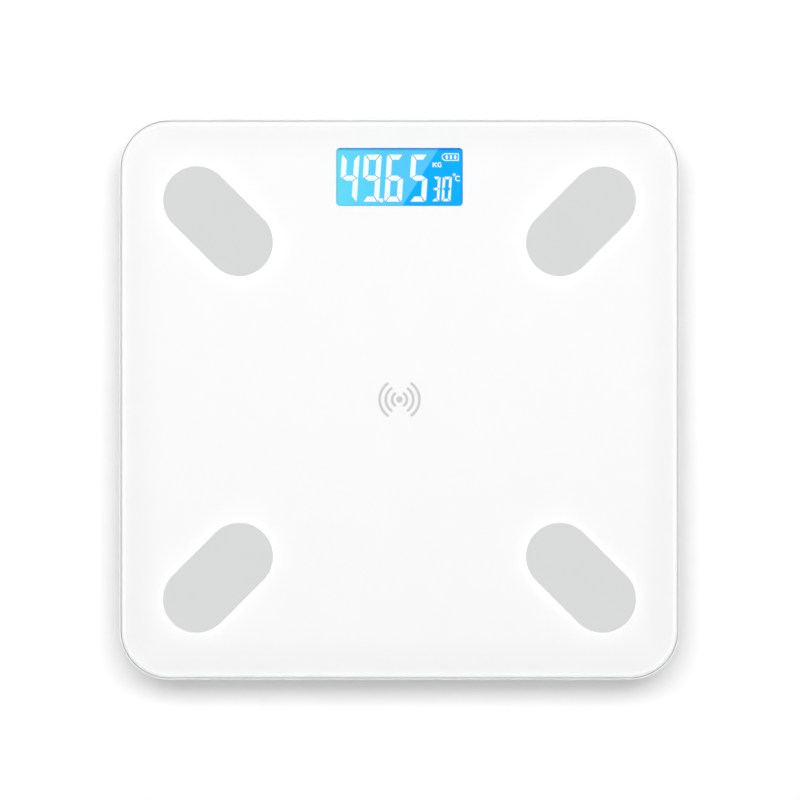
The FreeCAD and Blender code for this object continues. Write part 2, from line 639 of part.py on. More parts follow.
def socket(width, x):
    body = box(x - width / 2, x + width / 2, CONNECTOR_Y, CONNECTOR_Y + CONNECTOR_D,
               PCB_TOP_Z, PCB_TOP_Z + CONNECTOR_H)
    return body.cut(box(x - width / 2 + 0.8, x + width / 2 - 0.8, CONNECTOR_Y + 3.4,
                        CONNECTOR_Y + 4.6, PCB_TOP_Z + 1.0, PCB_TOP_Z + CONNECTOR_H))


def tact_switch():
    """Switch under the board, bored for its plunger and for the way that it travels."""
    body = box(BUTTON_X - 3, BUTTON_X + 3, BUTTON_Y - 3, BUTTON_Y + 3, PCB_Z - SWITCH_H, PCB_Z)
    bore_top = PCB_Z - PLUNGER_TOP + BUTTON_TRAVEL + 0.3
    return body.cut(disc(1.85, PCB_Z - SWITCH_H - 1, bore_top, BUTTON_X, BUTTON_Y))


def tact_plunger():
    return disc(1.6, PCB_Z - PLUNGER_LOW, PCB_Z - PLUNGER_TOP, BUTTON_X, BUTTON_Y)


def unit_button():
    """Cap in the floor's hole, with a flange that keeps it in and a post on the plunger."""
    cap = disc(4.4, BASE_Z + 0.7, FLOOR_Z + 0.2, BUTTON_X, BUTTON_Y)
    cap = cap.makeFillet(0.5, edges_at(cap, BASE_Z + 0.7))
    flange = disc(6.0, FLOOR_Z + 0.1, FLOOR_Z + 1.0, BUTTON_X, BUTTON_Y)
    post = disc(1.9, FLOOR_Z + 1.0, PCB_Z - PLUNGER_LOW, BUTTON_X, BUTTON_Y)
    button = joined([cap, flange, post])
    dish = Part.makeSphere(9.0, vec(BUTTON_X, BUTTON_Y, BASE_Z + 0.7 - 8.75))
    return button.cut(dish)


# ---------------------------------------------------------------- battery bay
COVER_T = 1.2
COVER_GAP = 0.2                          # between the cover and its recess
COVER_TOP_Z = BASE_Z + COVER_T
HINGE_Y = BAY_Y - MOUTH + COVER_GAP + COVER_T / 2    # the cover swings on its round front edge
HINGE_Z = BASE_Z + COVER_T / 2
TAB_X = 16.0                             # middle of each tab that holds the front edge in
TAB_Z, TAB_TOP_Z = 6.3, 7.6
LATCH_Y = 11.9                           # from BAY_Y
CONTACT_T = 0.4


def battery_cover():
    """Flat lid with a round front edge to swing on, two tabs, ribs inside and grip ridges."""
    half_x = BAY_X + 1.6
    lid = plate(2 * half_x, 2 * (MOUTH - COVER_GAP), 0.6, BASE_Z, COVER_TOP_Z, 0, BAY_Y)
    notch = box(-7.0, 7.0, BAY_Y + 13.4, BAY_Y + MOUTH, BASE_Z, COVER_TOP_Z)
    front = box(-half_x, half_x, BAY_Y - MOUTH, HINGE_Y, BASE_Z, COVER_TOP_Z)
    round_edge = Part.makeCylinder(COVER_T / 2, 2 * half_x, vec(-half_x, HINGE_Y, HINGE_Z),
                                   vec(1, 0, 0))
    shapes = [lid.cut([notch, front]), round_edge]
    for s in (-1, 1):
        x = s * TAB_X
        shapes.append(box(x - 4, x + 4, BAY_Y - 15.2, BAY_Y - 13.8, COVER_TOP_Z - 0.2, TAB_TOP_Z))
        shapes.append(box(x - 4, x + 4, BAY_Y - 19.0, BAY_Y - 15.2, TAB_Z, TAB_TOP_Z))
        shapes.append(box(s * 24.0 - 0.5, s * 24.0 + 0.5, BAY_Y - 12, BAY_Y + 12,
                          COVER_TOP_Z - 0.2, COVER_TOP_Z + 0.9))
    cover = joined(shapes)
    ridges = [box(-9.0, 9.0, BAY_Y + y - 0.5, BAY_Y + y + 0.5, BASE_Z - 0.1, BASE_Z + 0.4)
              for y in (3.0, 5.2, 7.4, 9.6)]
    return cover.cut(ridges)


def cover_latch():
    """Springy loop at the back of the cover; its nose rests on the floor inside the bay."""
    inner, outer, wall = LATCH_Y, 15.4, 0.9
    top = 9.8
    radius = (outer - inner) / 2
    arch = ring(radius, radius - wall, 0, 12.0)
    arch = arch.cut(box(-5, 5, -5, 0, 0, 12.0))
    loop = joined([arch, box(-radius, -radius + wall, -(top - COVER_TOP_Z), 0, 0, 12.0),
                   box(radius - wall, radius, -(top - BASE_Z - 0.2), 0, 0, 12.0)])
    nose_low = FLOOR_Z + 0.05 - top
    nose = [vec(radius - 0.1, nose_low, 0), vec(radius + 1.5, nose_low, 0),
            vec(radius + 1.5, nose_low + 0.5, 0), vec(radius - 0.1, nose_low + 2.0, 0)]
    loop = joined([loop, Part.Face(Part.makePolygon(nose + nose[:1])).extrude(vec(0, 0, 12.0))])
    loop.translate(vec(0, 0, -6.0))
    loop.rotate(vec(0, 0, 0), vec(1, 0, 0), 90)
    loop.rotate(vec(0, 0, 0), vec(0, 0, 1), 90)
    loop.translate(vec(0, BAY_Y + inner + radius, top))
    return loop


def cell_foam():
    """Foam strip on the cover that stops the cells from rattling."""
    return box(-14.0, 14.0, BAY_Y - 8.0, BAY_Y + 8.0, COVER_TOP_Z, CELL_Z - CELL_R - 0.1)


def cell_places():
    """Y of each cell, and which way its positive end points along X."""
    return [(BAY_Y - CELL_SPACING / 2, 1), (BAY_Y + CELL_SPACING / 2, -1)]


def battery_cell(y, way):
    can = Part.makeCylinder(CELL_R, CELL_L, vec(0, 0, 0), vec(1, 0, 0))
    can = can.makeFillet(0.4, [e for e in can.Edges if e.Closed])
    nub = Part.makeCylinder(CELL_NUB_R, CELL_NUB_L + 0.5, vec(CELL_L - 0.5, 0, 0), vec(1, 0, 0))
    cell = joined([can, nub])
    cell.translate(vec(-CELL_L / 2 + 1.6, 0, 0))
    return moved(cell, 0, y, CELL_Z, angle=0 if way > 0 else 180)


def spring_gap():
    """Room between a cell's flat end and the contact plate that its spring stands on."""
    return BAY_X - CONTACT_T - (CELL_L / 2 - 1.6)


def contact_springs():
    """Coil spring under the flat end of each cell."""
    springs = []
    for y, way in cell_places():
        spring = coil(2.9, 0.3, spring_gap() - 1.2, 3.5)
        spring.translate(vec(0, 0, 0.45))
        spring.rotate(vec(0, 0, 0), vec(0, 1, 0), 90)
        springs.append(moved(spring, -way * (BAY_X - CONTACT_T), y, CELL_Z,
                             angle=0 if way > 0 else 180))
    return springs


def contact_face(y, side, width):
    """Nickel plate on one end wall of the bay."""
    inner = side * (BAY_X - CONTACT_T)
    return box(min(inner, side * BAY_X), max(inner, side * BAY_X), y - width / 2, y + width / 2,
               CELL_Z - 3.9, CELL_Z + 4.2)


def positive_dimple(y, side):
    """Raised button that meets a cell's positive nub."""
    reach = BAY_X - CONTACT_T - (CELL_L / 2 + 1.6 + CELL_NUB_L)
    base = vec(side * (BAY_X - CONTACT_T), y, CELL_Z)
    return Part.makeCone(3.0, 1.8, reach, base, vec(-side, 0, 0))


def link_contact():
    """Plate that joins the two cells at the right end."""
    y_positive = cell_places()[0][0]
    return joined([contact_face(BAY_Y, 1, 19.0), positive_dimple(y_positive, 1)])


def terminal_contacts():
    """The two plates at the left end, each with a solder tab through the wall."""
    plates = []
    for y, way in cell_places():
        face = contact_face(y, -1, 8.6)
        tab = box(-BAY_X - 4.0, -BAY_X, y - 1.2, y + 1.2, CELL_Z - 3.1, CELL_Z - 2.7)
        shapes = [face, tab]
        if way < 0:
            shapes.append(positive_dimple(y, -1))
        plates.append(joined(shapes))
    return plates


# ---------------------------------------------------------------- contacts and wires
ON_FLOOR_Z = FLOOR_Z + WIRE_R + 0.1
OVER_WELL_Z = WELL_TOP_Z + WIRE_R + 0.1
WIRE_STEP = 1.5                          # spacing of wires that run side by side


def electrode_springs():
    """Bowed bronze strips on the wells that press on the electrode studs."""
    strip = [(-3.4, 0.0), (3.0, 0.0), (3.9, 0.9), (3.0, 1.9), (1.2, 2.3), (-1.4, 2.3), (-2.6, 1.8)]
    leaf = bent_strip(strip, 0.25, 3.2)
    leaf.translate(vec(0, 0, WELL_TOP_Z))
    return [moved(leaf, sx * ELECTRODE_X, sy * ELECTRODE_Y, angle=90 - 90 * sx)
            for sx, sy in CORNERS.values()]


def beside(route, shift):
    """The same route shifted sideways in plan, so that wires keep their spacing round bends."""
    flat = [(b[0] - a[0], b[1] - a[1]) for a, b in zip(route, route[1:])]
    turns = [math.atan2(d[1], d[0]) if math.hypot(*d) > 1e-6 else None for d in flat]
    result = []
    for i, (x, y, z) in enumerate(route):
        before = next((t for t in reversed(turns[:i]) if t is not None), None)
        after = next((t for t in turns[i:] if t is not None), None)
        before, after = (after if before is None else before), (before if after is None else after)
        half = (after - before + math.pi) % (2 * math.pi) - math.pi
        aim = before + half / 2 + math.pi / 2
        reach = shift / math.cos(half / 2)
        result.append((x + reach * math.cos(aim), y + reach * math.sin(aim), z))
    return result


def bundle_tail(corner):
    """Route of a corner's bundle from the foot of its well to its socket, on the floor."""
    sx, sy = corner
    plug_x = sx * (BACK_PLUG_X if sy > 0 else FRONT_PLUG_X)
    bundle_y = BUNDLE_BACK_Y if sy > 0 else BUNDLE_FRONT_Y
    return [(sx * BUNDLE_X, sy * FOOT_XY, ON_FLOOR_Z), (sx * BUNDLE_X, bundle_y, ON_FLOOR_Z),
            (plug_x, bundle_y, ON_FLOOR_Z), (plug_x, RISE_Y, ON_FLOOR_Z),
            (plug_x, RISE_Y, PLUG_Z), (plug_x, CONNECTOR_Y, PLUG_Z)]


def sensor_wires(lane):
    """One colour of wire for all four load cells; lane is -1, 0 or 1 across the bundle."""
    wires = []
    for corner in CORNERS.values():
        sx, sy = corner
        start_x, y = sx * (FOOT_XY - 6.5), sy * FOOT_XY
        head = [(start_x, y, CELL_PLATE_TOP + 0.75), (start_x, y, OVER_WELL_Z),
                (sx * BUNDLE_X, y, OVER_WELL_Z)]
        shift = -sx * sy * lane * WIRE_STEP
        wires.append(wire(beside(head + bundle_tail(corner), shift), WIRE_R))
    return wires


def electrode_wires():
    """One wire from each electrode spring, in the innermost lane of its bundle."""
    wires = []
    for corner in CORNERS.values():
        sx, sy = corner
        tail = beside(bundle_tail(corner), -sx * sy * 2 * WIRE_STEP)
        y = sy * ELECTRODE_Y
        drop_x = tail[0][0]
        head = [(sx * (ELECTRODE_X - 3.6), y, OVER_WELL_Z), (drop_x, y, OVER_WELL_Z),
                (drop_x, y, ON_FLOOR_Z)]
        wires.append(wire(head + tail[1:], WIRE_R))
    return wires


def battery_wire(lane):
    """Wire from one solder tab to the battery socket in the middle of the board."""
    y = BAY_Y - lane * CELL_SPACING / 2
    x = -lane * 0.9
    way = -BAY_X - 6.0 - lane * 1.0
    route = [(-BAY_X - 2.6, y, CELL_Z - 2.0), (way, y, CELL_Z - 2.0), (way, y + 6.0, ON_FLOOR_Z),
             (way, BAY_Y + 25.0 + lane, ON_FLOOR_Z), (x, BAY_Y + 25.0 + lane, ON_FLOOR_Z),
             (x, RISE_Y, ON_FLOOR_Z), (x, RISE_Y, PLUG_Z), (x, CONNECTOR_Y, PLUG_Z)]
    return wire(route, WIRE_R)


# ---------------------------------------------------------------- build
def all_nodes():
    nodes = {
        "glass_platform": [glass_platform()],
        "white_print": [white_print()],
        "radio_mark": radio_mark(),
        "glass_tape": glass_tape(),
        "base_housing": [base_housing()],
        "lcd_panel": [lcd_panel()],
        "lcd_polariser": [lcd_polariser()],
        "light_guide": [light_guide()],
        "light_diffuser": [diffuser()],
        "light_reflector": [reflector()],
        "backlight_lamps": backlight_lamps(),
        "zebra_strips": zebra_strips(),
        "lcd_holder": [lcd_holder()],
        "window_gasket": [window_gasket()],
        "main_pcb": [main_pcb()],
        "pcb_screws": pcb_screws(),
        "controller_blob": [controller_blob()],
        "radio_module": [radio_module()],
        "radio_can": [radio_can()],
        "timing_crystal": [crystal()],
        "capacitors": capacitors(),
        "chip_parts": chip_parts(),
        "sensor_sockets": sensor_plugs(),
        "battery_socket": [socket(5.0, 0.0)],
        "tact_switch": [tact_switch()],
        "tact_plunger": [tact_plunger()],
        "unit_button": [unit_button()],
        "battery_cover": [battery_cover()],
        "battery_cover_latch": [cover_latch()],
        "cell_foam": [cell_foam()],
        "contact_springs": contact_springs(),
        "link_contact": [link_contact()],
        "terminal_contacts": terminal_contacts(),
        "gauge_seals": [at_foot(gauge_seal(), c) for c in CORNERS.values()],
        "retainer_screws": retainer_screws(),
        "electrode_springs": electrode_springs(),
        "red_wires": sensor_wires(-1) + [battery_wire(1)],
        "white_wires": sensor_wires(0),
        "black_wires": sensor_wires(1) + [battery_wire(-1)],
        "electrode_wires": electrode_wires(),
    }
    for number, place in enumerate(cell_places(), start=1):
        nodes[f"battery_cell_{number}"] = [battery_cell(*place)]
    for name, corner in CORNERS.items():
        nodes[f"electrode_{name}"] = [electrode(corner)]
        nodes[f"load_cell_{name}"] = [at_foot(load_cell(), corner)]
        nodes[f"foot_cup_{name}"] = [at_foot(foot_cup(), corner)]
        nodes[f"foot_pad_{name}"] = [at_foot(foot_pad(), corner)]
    nodes["load_cell_retainers"] = [at_foot(load_cell_retainer(), c) for c in CORNERS.values()]
    return nodes


def main():
    os.makedirs("parts", exist_ok=True)
    for name, shapes in all_nodes().items():
        for shape in shapes:
            if not shape.isValid() or shape.Volume <= 0 or len(shape.Solids) != 1:
                print("look at", name, shape.isValid(), round(shape.Volume, 2), len(shape.Solids))
        whole = shapes[0] if len(shapes) == 1 else Part.makeCompound(shapes)
        whole.exportStep(f"parts/{name}.step")


main()
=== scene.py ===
# %% [markdown]
# # A digital bathroom scale
#
# The real object is a sheet of tempered glass, painted white behind, bonded into a shallow
# moulded tray that stands on four load-cell feet. The tray, the glass, the feet and everything
# inside come from the CAD model as they are. This script adds what a drawing of solids can't
# say: the lit characters of the display, the tread of the rubber pads, the foam, and what each
# surface is made of.

# %% Load the frame
import json
import math

import bpy
import numpy as np
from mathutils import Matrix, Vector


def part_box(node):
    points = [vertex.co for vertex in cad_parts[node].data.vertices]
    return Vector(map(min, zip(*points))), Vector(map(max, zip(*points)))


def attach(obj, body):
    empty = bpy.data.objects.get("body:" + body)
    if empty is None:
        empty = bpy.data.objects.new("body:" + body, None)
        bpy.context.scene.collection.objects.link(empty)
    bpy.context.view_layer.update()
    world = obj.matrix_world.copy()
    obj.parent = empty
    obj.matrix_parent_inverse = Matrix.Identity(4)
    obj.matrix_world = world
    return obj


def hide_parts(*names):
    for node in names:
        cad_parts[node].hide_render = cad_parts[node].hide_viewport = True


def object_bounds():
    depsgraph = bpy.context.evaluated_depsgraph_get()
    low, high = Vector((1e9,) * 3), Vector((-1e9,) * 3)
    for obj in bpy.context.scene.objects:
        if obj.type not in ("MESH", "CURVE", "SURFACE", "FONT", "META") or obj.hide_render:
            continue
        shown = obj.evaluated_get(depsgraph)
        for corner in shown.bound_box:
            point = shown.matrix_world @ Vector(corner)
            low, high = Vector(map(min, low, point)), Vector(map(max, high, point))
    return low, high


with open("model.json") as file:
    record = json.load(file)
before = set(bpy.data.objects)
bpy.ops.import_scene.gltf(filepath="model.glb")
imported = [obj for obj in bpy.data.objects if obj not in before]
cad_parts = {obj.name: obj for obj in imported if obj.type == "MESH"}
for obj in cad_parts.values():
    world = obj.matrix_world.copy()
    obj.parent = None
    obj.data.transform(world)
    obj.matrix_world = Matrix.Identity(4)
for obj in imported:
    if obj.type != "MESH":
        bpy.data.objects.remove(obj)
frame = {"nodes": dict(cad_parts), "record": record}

cad_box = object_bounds()
nodes = frame["nodes"]

# %% [markdown]
# ## Units
#
# The frame is in metres, and a scale is a thing of millimetres and tenths. Writing every length
# as a number of millimetres times MM keeps the numbers those a workshop would use.

# %% Units and colours
MM = 0.001


def linear(hex_colour):
    """An sRGB hex colour as linear red, green, blue and alpha 1: each channel c becomes
    ((c + 0.055) / 1.055) ** 2.4, or c / 12.92 where it is very dark."""
    channels = np.array([int(hex_colour[i:i + 2], 16) / 255 for i in (1, 3, 5)])
    curve = np.where(channels > 0.04045, ((channels + 0.055) / 1.055) ** 2.4, channels / 12.92)
    return (*curve.tolist(), 1.0)


print("white in linear light", linear("#FFFFFF"))

# %% [markdown]
# ## The camera
#
# The scale is seen from straight above. A long lens far away keeps its sides hidden under its
# rim, and the frame is a little wider than the scale. The lens is shifted so slightly that the
# middle of the view lies a quarter of a millimetre off the middle of the glass, each way.

# %% Camera
platform_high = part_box("glass_platform")[1]
LENS = 135.0
SENSOR = 36.0
FRAME_WIDTH = 370.7 * MM
OFF_CENTRE = 0.23 * MM / FRAME_WIDTH
camera_height = FRAME_WIDTH * LENS / SENSOR

camera_data = bpy.data.cameras.new("overhead_camera")
camera_data.lens = LENS
camera_data.sensor_width = SENSOR
camera_data.shift_x = OFF_CENTRE
camera_data.shift_y = -OFF_CENTRE
camera_data.clip_end = 50.0
camera = bpy.data.objects.new("overhead_camera", camera_data)
camera.location = (0.0, 0.0, platform_high.z + camera_height)
bpy.context.scene.collection.objects.link(camera)
bpy.context.scene.camera = camera
bpy.context.scene.view_settings.view_transform = "Standard"
print("camera", round(camera_height, 3), "m above the glass")

# %% [markdown]
# ## Adding shader nodes
#
# A material is a small graph. One function that adds a node, sets its own properties and fills
# its sockets with values or links lets each material read as a list of what it does. Most nodes
# have one output in use, so a node can be given where its output is meant.

# %% Node helper
def add(tree, kind, inputs=None, **settings):
    """Adds one shader node. Settings are the node's own properties. Inputs maps a socket's name
    or number to a value, to an output, or to a node, which stands for its first output in use."""
    node = tree.nodes.new("ShaderNode" + kind)
    for name, value in settings.items():
        setattr(node, name, value)
    for key, value in (inputs or {}).items():
        socket = node.inputs[key] if isinstance(key, int) else next(
            s for s in node.inputs if s.enabled and s.name == key)
        if isinstance(value, bpy.types.Node):
            value = next(s for s in value.outputs if s.enabled)
        if isinstance(value, bpy.types.NodeSocket):
            tree.links.new(value, socket)
        else:
            socket.default_value = value
    return node


def start_material(name):
    """A new material and its empty node tree."""
    material = bpy.data.materials.new(name)
    material.use_nodes = True
    material.node_tree.nodes.clear()
    return material, material.node_tree


# %% [markdown]
# ## Meshes from arrays
#
# Every new piece is worked out as arrays of points. A surface that is a function of two
# parameters needs one recipe to become a mesh: its grid of points, joined into quads, with
# either direction closed on itself where the surface goes all the way round.

# %% Mesh helpers
def make_object(name, points, faces, smooth=True):
    """Mesh object at the origin with these points, an (n, 3) array in metres, and faces."""
    mesh = bpy.data.meshes.new(name)
    mesh.from_pydata(points.tolist(), [], faces)
    if smooth:
        mesh.shade_smooth()
    else:
        mesh.shade_flat()
    mesh.update()
    piece = bpy.data.objects.new(name, mesh)
    bpy.context.scene.collection.objects.link(piece)
    return piece


def grid_faces(rows, columns, wrap_rows=False, wrap_columns=False):
    """Quads of a grid whose point (i, j) has the number i * columns + j."""
    i = np.arange(rows if wrap_rows else rows - 1)[:, None]
    j = np.arange(columns if wrap_columns else columns - 1)[None, :]
    down, across = (i + 1) % rows, (j + 1) % columns
    corners = (i * columns + j, i * columns + across, down * columns + across, down * columns + j)
    return np.stack(corners, axis=-1).reshape(-1, 4).tolist()


# %% [markdown]
# ## The studio
#
# The scale lies on a pale floor. A wide soft box hangs above it, and a second one behind it
# makes the shadow in front deeper than the others. What the glass and the metal mirror is a
# white tent all round, with a dark hole right above, where the camera looks in: the level glass
# reflects that hole to the camera, so the display isn't veiled with white. Far from the scale,
# where the soft boxes don't reach, the floor glows by itself and melts into the background.

# %% Floor
HALF_FLOOR = 6.0
GLOW_NEAR, GLOW_FAR = 0.5, 1.3
BACKGROUND_LIGHT = 1.05
floor_low = cad_box[0].z
floor_points = np.array([(x, y, floor_low) for y in (-HALF_FLOOR, HALF_FLOOR)
                         for x in (-HALF_FLOOR, HALF_FLOOR)])
floor = make_object("studio_floor", floor_points, [(0, 1, 3, 2)])
floor_material, tree = start_material("matt_white_floor")
where = add(tree, "TexCoord").outputs["Object"]
speckle = add(tree, "TexNoise", {"Vector": where, "Scale": 90.0, "Detail": 3.0})
tone = add(tree, "Mix", {"Factor": speckle, "A": linear("#E6E6E6"), "B": linear("#E9E9E9")},
           data_type="RGBA")
matt = add(tree, "BsdfPrincipled", {"Base Color": tone, "Roughness": 0.9,
                                    "Specular IOR Level": 0.1})
glow = add(tree, "Emission", {"Color": linear("#FFFFFF"), "Strength": BACKGROUND_LIGHT})
away = add(tree, "VectorMath", {0: where}, operation="LENGTH").outputs["Value"]
far = add(tree, "MapRange", {"Value": away, "From Min": GLOW_NEAR, "From Max": GLOW_FAR},
          interpolation_type="SMOOTHSTEP")
add(tree, "OutputMaterial", {"Surface": add(tree, "MixShader", {0: far, 1: matt, 2: glow})})
floor.data.materials.append(floor_material)
print("floor at", round(floor_low, 6))

# %% [markdown]
# A world's light can differ by what asks for it. The camera sees plain white, matt surfaces get
# a weak fill, so that the soft boxes shape the shadows, and glass and metal mirror the tent.

# %% World
TENT_LIGHT = 1.2
FILL_LIGHT = 0.12
HOLE_START, HOLE_FULL = math.cos(math.radians(16.0)), math.cos(math.radians(9.0))

world = bpy.data.worlds.new("white_tent")
world.use_nodes = True
world.node_tree.nodes.clear()
tree = world.node_tree
direction = add(tree, "TexCoord")
height = add(tree, "SeparateXYZ", {"Vector": direction.outputs["Generated"]})
tent = add(tree, "MapRange", {"Value": height.outputs["Z"], "From Min": HOLE_START,
                              "From Max": HOLE_FULL, "To Min": TENT_LIGHT, "To Max": 0.0},
           interpolation_type="SMOOTHSTEP")
path = add(tree, "LightPath")
shining = add(tree, "Mix", {"Factor": path.outputs["Is Diffuse Ray"], "A": tent,
                            "B": FILL_LIGHT})
strength = add(tree, "Mix", {"Factor": path.outputs["Is Camera Ray"], "A": shining,
                             "B": BACKGROUND_LIGHT})
background = add(tree, "Background", {"Color": linear("#FFFFFF"), "Strength": strength})
add(tree, "OutputWorld", {"Surface": background})
bpy.context.scene.world = world
print("tent", TENT_LIGHT, "fill", FILL_LIGHT, "background", BACKGROUND_LIGHT)

# %% [markdown]
# The enamel lies under 5 mm of glass. In the real slab, light that is trapped between the faces
# evens out the shadows that the electrodes and the ground bevel throw on the enamel, and a
# renderer takes very long to find that light. So each soft box is two lamps in one place: one
# lights everything else, and one lights only the enamel, with the glass and the electrodes left
# out of what blocks it.

# %% Soft boxes
def linked(name, members, state):
    """Collection for light linking, whose members are all included or all excluded."""
    group = bpy.data.collections.new(name)
    for member in members:
        group.objects.link(member)
    for entry in group.collection_objects:
        entry.light_linking.link_state = state
    return group


printed = [nodes[part["node"]] for part in frame["record"]["subparts"]
           if part["material_slot"] in ("white_ink", "grey_ink")]
slab = [nodes["glass_platform"]] + [nodes[name] for name in nodes if name.startswith("electrode_")]
not_printed = linked("all_but_enamel", printed, "EXCLUDE")
only_printed = linked("enamel", printed, "INCLUDE")
not_slab = linked("all_but_slab", slab, "EXCLUDE")


def soft_box(name, place, width, depth, watts):
    """Rectangular lamp at a place, turned to shine at the middle of the scale, and its twin for
    the enamel. Reflections show the tent in their stead."""
    for target in ("_for_all", "_for_enamel"):
        data = bpy.data.lights.new(name + target, "AREA")
        data.shape = "RECTANGLE"
        data.size = width
        data.size_y = depth
        data.energy = watts
        lamp = bpy.data.objects.new(name + target, data)
        lamp.location = place
        lamp.rotation_euler = (-lamp.location).to_track_quat("-Z", "Y").to_euler()
        lamp.visible_glossy = False
        bpy.context.scene.collection.objects.link(lamp)
        if target == "_for_all":
            lamp.light_linking.receiver_collection = not_printed
        else:
            lamp.light_linking.receiver_collection = only_printed
            lamp.light_linking.blocker_collection = not_slab
    print(name, "stands", round(lamp.location.length, 2), "m away")


soft_box("overhead_soft_box", (0.0, 0.0, 3.0), 4.0, 4.0, 92.0)
soft_box("back_soft_box", (0.0, 0.76, 1.8), 2.4, 0.85, 25.0)

# %% [markdown]
# ## Moulded and rolled surfaces
#
# Most parts are either moulded plastic or sheet metal. Both have a colour that drifts a little
# over some millimetres, a polish that drifts with it, and a fine grain from the mould or the
# rolls. The recipe takes those as real sizes; a noise texture's scale is one over its grain in
# metres. Rolled and brushed metal has its grain drawn out along one direction, which the
# stretch does by making the texture coarser that way.

# %% Recipe for an even surface with a grain
def grained(name, colours, roughness, drift, grain, relief, stretch=(1.0, 1.0, 1.0), **values):
    """Material with two close colours, a low and a high roughness, the size of the drift
    between them, the size of the grain and its height, all lengths in millimetres. Further
    values are set on the shader's sockets, with _ for each space."""
    material, tree = start_material(name)
    where = add(tree, "TexCoord").outputs["Object"]
    drawn = add(tree, "Mapping", {"Vector": where, "Scale": tuple(1 / s for s in stretch)})
    patches = add(tree, "TexNoise", {"Vector": where, "Scale": 1 / (drift * MM), "Detail": 2.0})
    tone = add(tree, "Mix", {"Factor": patches, "A": linear(colours[0]),
                             "B": linear(colours[1])}, data_type="RGBA")
    polish = add(tree, "MapRange", {"Value": patches, "From Min": 0.3, "From Max": 0.7,
                                    "To Min": roughness[0], "To Max": roughness[1]})
    fine = add(tree, "TexNoise", {"Vector": drawn, "Scale": 1 / (grain * MM), "Detail": 1.0})
    bump = add(tree, "Bump", {"Height": fine, "Distance": relief * MM, "Strength": 1.0})
    sockets = {key.replace("_", " "): value for key, value in values.items()}
    shader = add(tree, "BsdfPrincipled", {"Base Color": tone, "Roughness": polish,
                                          "Normal": bump, **sockets})
    add(tree, "OutputMaterial", {"Surface": shader})
    return material


finish = {}
print("recipe ready; finishes are kept by the name of the slot that they are for")

# %% [markdown]
# ## The housing and the feet
#
# The tray, the battery cover and its latch are injection-moulded ABS. The mould is spark
# eroded, which leaves a fine orange-peel grain that spreads highlights, so the plastic looks
# soft and even rather than glossy. Real spark texture is about 0.1 mm; here it is 0.5 mm, the
# finest that shows. The feet are the same plastic from a smoother mould, and the button and the
# retainers are a grey grade of it.

# %% Moulded plastics
ABS_IOR = 1.53
finish["white_housing"] = grained("spark_textured_abs_white", ("#E1E1E1", "#DEDEDE"),
                                  (0.42, 0.5), 25.0, 0.5, 0.012, IOR=ABS_IOR)
finish["white_foot"] = grained("smooth_moulded_abs_white", ("#E9EBEB", "#E4E7E7"),
                               (0.32, 0.4), 12.0, 0.6, 0.006, IOR=ABS_IOR)
finish["grey_plastic"] = grained("smooth_moulded_abs_grey", ("#A9ABAE", "#A2A5A8"),
                                 (0.36, 0.44), 10.0, 0.5, 0.008, IOR=ABS_IOR)
finish["white_nylon"] = grained("moulded_nylon_natural", ("#E6E3D8", "#DDD9CC"),
                                (0.4, 0.5), 6.0, 0.4, 0.008, IOR=1.53)
finish["black_plastic"] = grained("moulded_pbt_black", ("#1B1B1D", "#232325"),
                                  (0.4, 0.5), 4.0, 0.4, 0.008, IOR=1.57)
print("plastics", sorted(finish))

# %% [markdown]
# ## Rubber, foam and wire covering
#
# The pads under the feet are grey thermoplastic rubber: dull, with a slightly rubbed look
# because the high spots are smoother. The foam parts are die-cut from sheet, so they are plain
# blocks whose surface is full of cut bubbles. Wires are covered in extruded PVC, smooth and a
# little waxy, with faint lines along the wire.

# %% Rubber and sealant
finish["grey_rubber"] = grained("moulded_rubber_grey", ("#6E7072", "#77797B"),
                                (0.6, 0.8), 3.0, 0.35, 0.02, IOR=1.52)
finish["white_sealant"] = grained("cured_silicone_white", ("#E9E8E2", "#DDDCD4"),
                                  (0.3, 0.5), 2.0, 1.2, 0.05, IOR=1.41)
for colour, tints in {"red": ("#B01F1A", "#A31A16"), "white": ("#E4E4DF", "#DAD9D2"),
                      "black": ("#161617", "#1E1E20"), "blue": ("#1E4FA8", "#1A479A")}.items():
    finish[colour + "_sleeve"] = grained("extruded_pvc_" + colour, tints, (0.35, 0.45), 5.0,
                                         0.4, 0.004, stretch=(1.0, 6.0, 1.0), IOR=1.53)


# %% Foam
def foam(name, wall, shaded_hollow, bubble):
    """Cut foam: the distance to the edges between random cells is small in the walls and large
    in the bubbles, which are lower and darkened with painted shade."""
    material, tree = start_material(name)
    where = add(tree, "TexCoord").outputs["Object"]
    cells = add(tree, "TexVoronoi", {"Vector": where, "Scale": 1 / (bubble * MM)},
                feature="DISTANCE_TO_EDGE")
    inside = add(tree, "MapRange", {"Value": cells, "From Min": 0.05, "From Max": 0.3})
    tone = add(tree, "Mix", {"Factor": inside, "A": linear(wall), "B": linear(shaded_hollow)},
               data_type="RGBA")
    depth = add(tree, "MapRange", {"Value": inside, "To Min": 1.0, "To Max": 0.0})
    bump = add(tree, "Bump", {"Height": depth, "Distance": 0.1 * bubble * MM})
    shader = add(tree, "BsdfPrincipled", {"Base Color": tone, "Roughness": 0.9, "Normal": bump})
    add(tree, "OutputMaterial", {"Surface": shader})
    return material


# The second colour of each foam is painted shade in its cut bubbles.
finish["foam_tape"] = foam("closed_cell_foam_white", "#F0F0EC", "#D4D4CE", 0.5)
finish["black_foam"] = foam("open_cell_foam_black", "#2A2A2C", "#101011", 0.6)
print("soft finishes", len(finish))

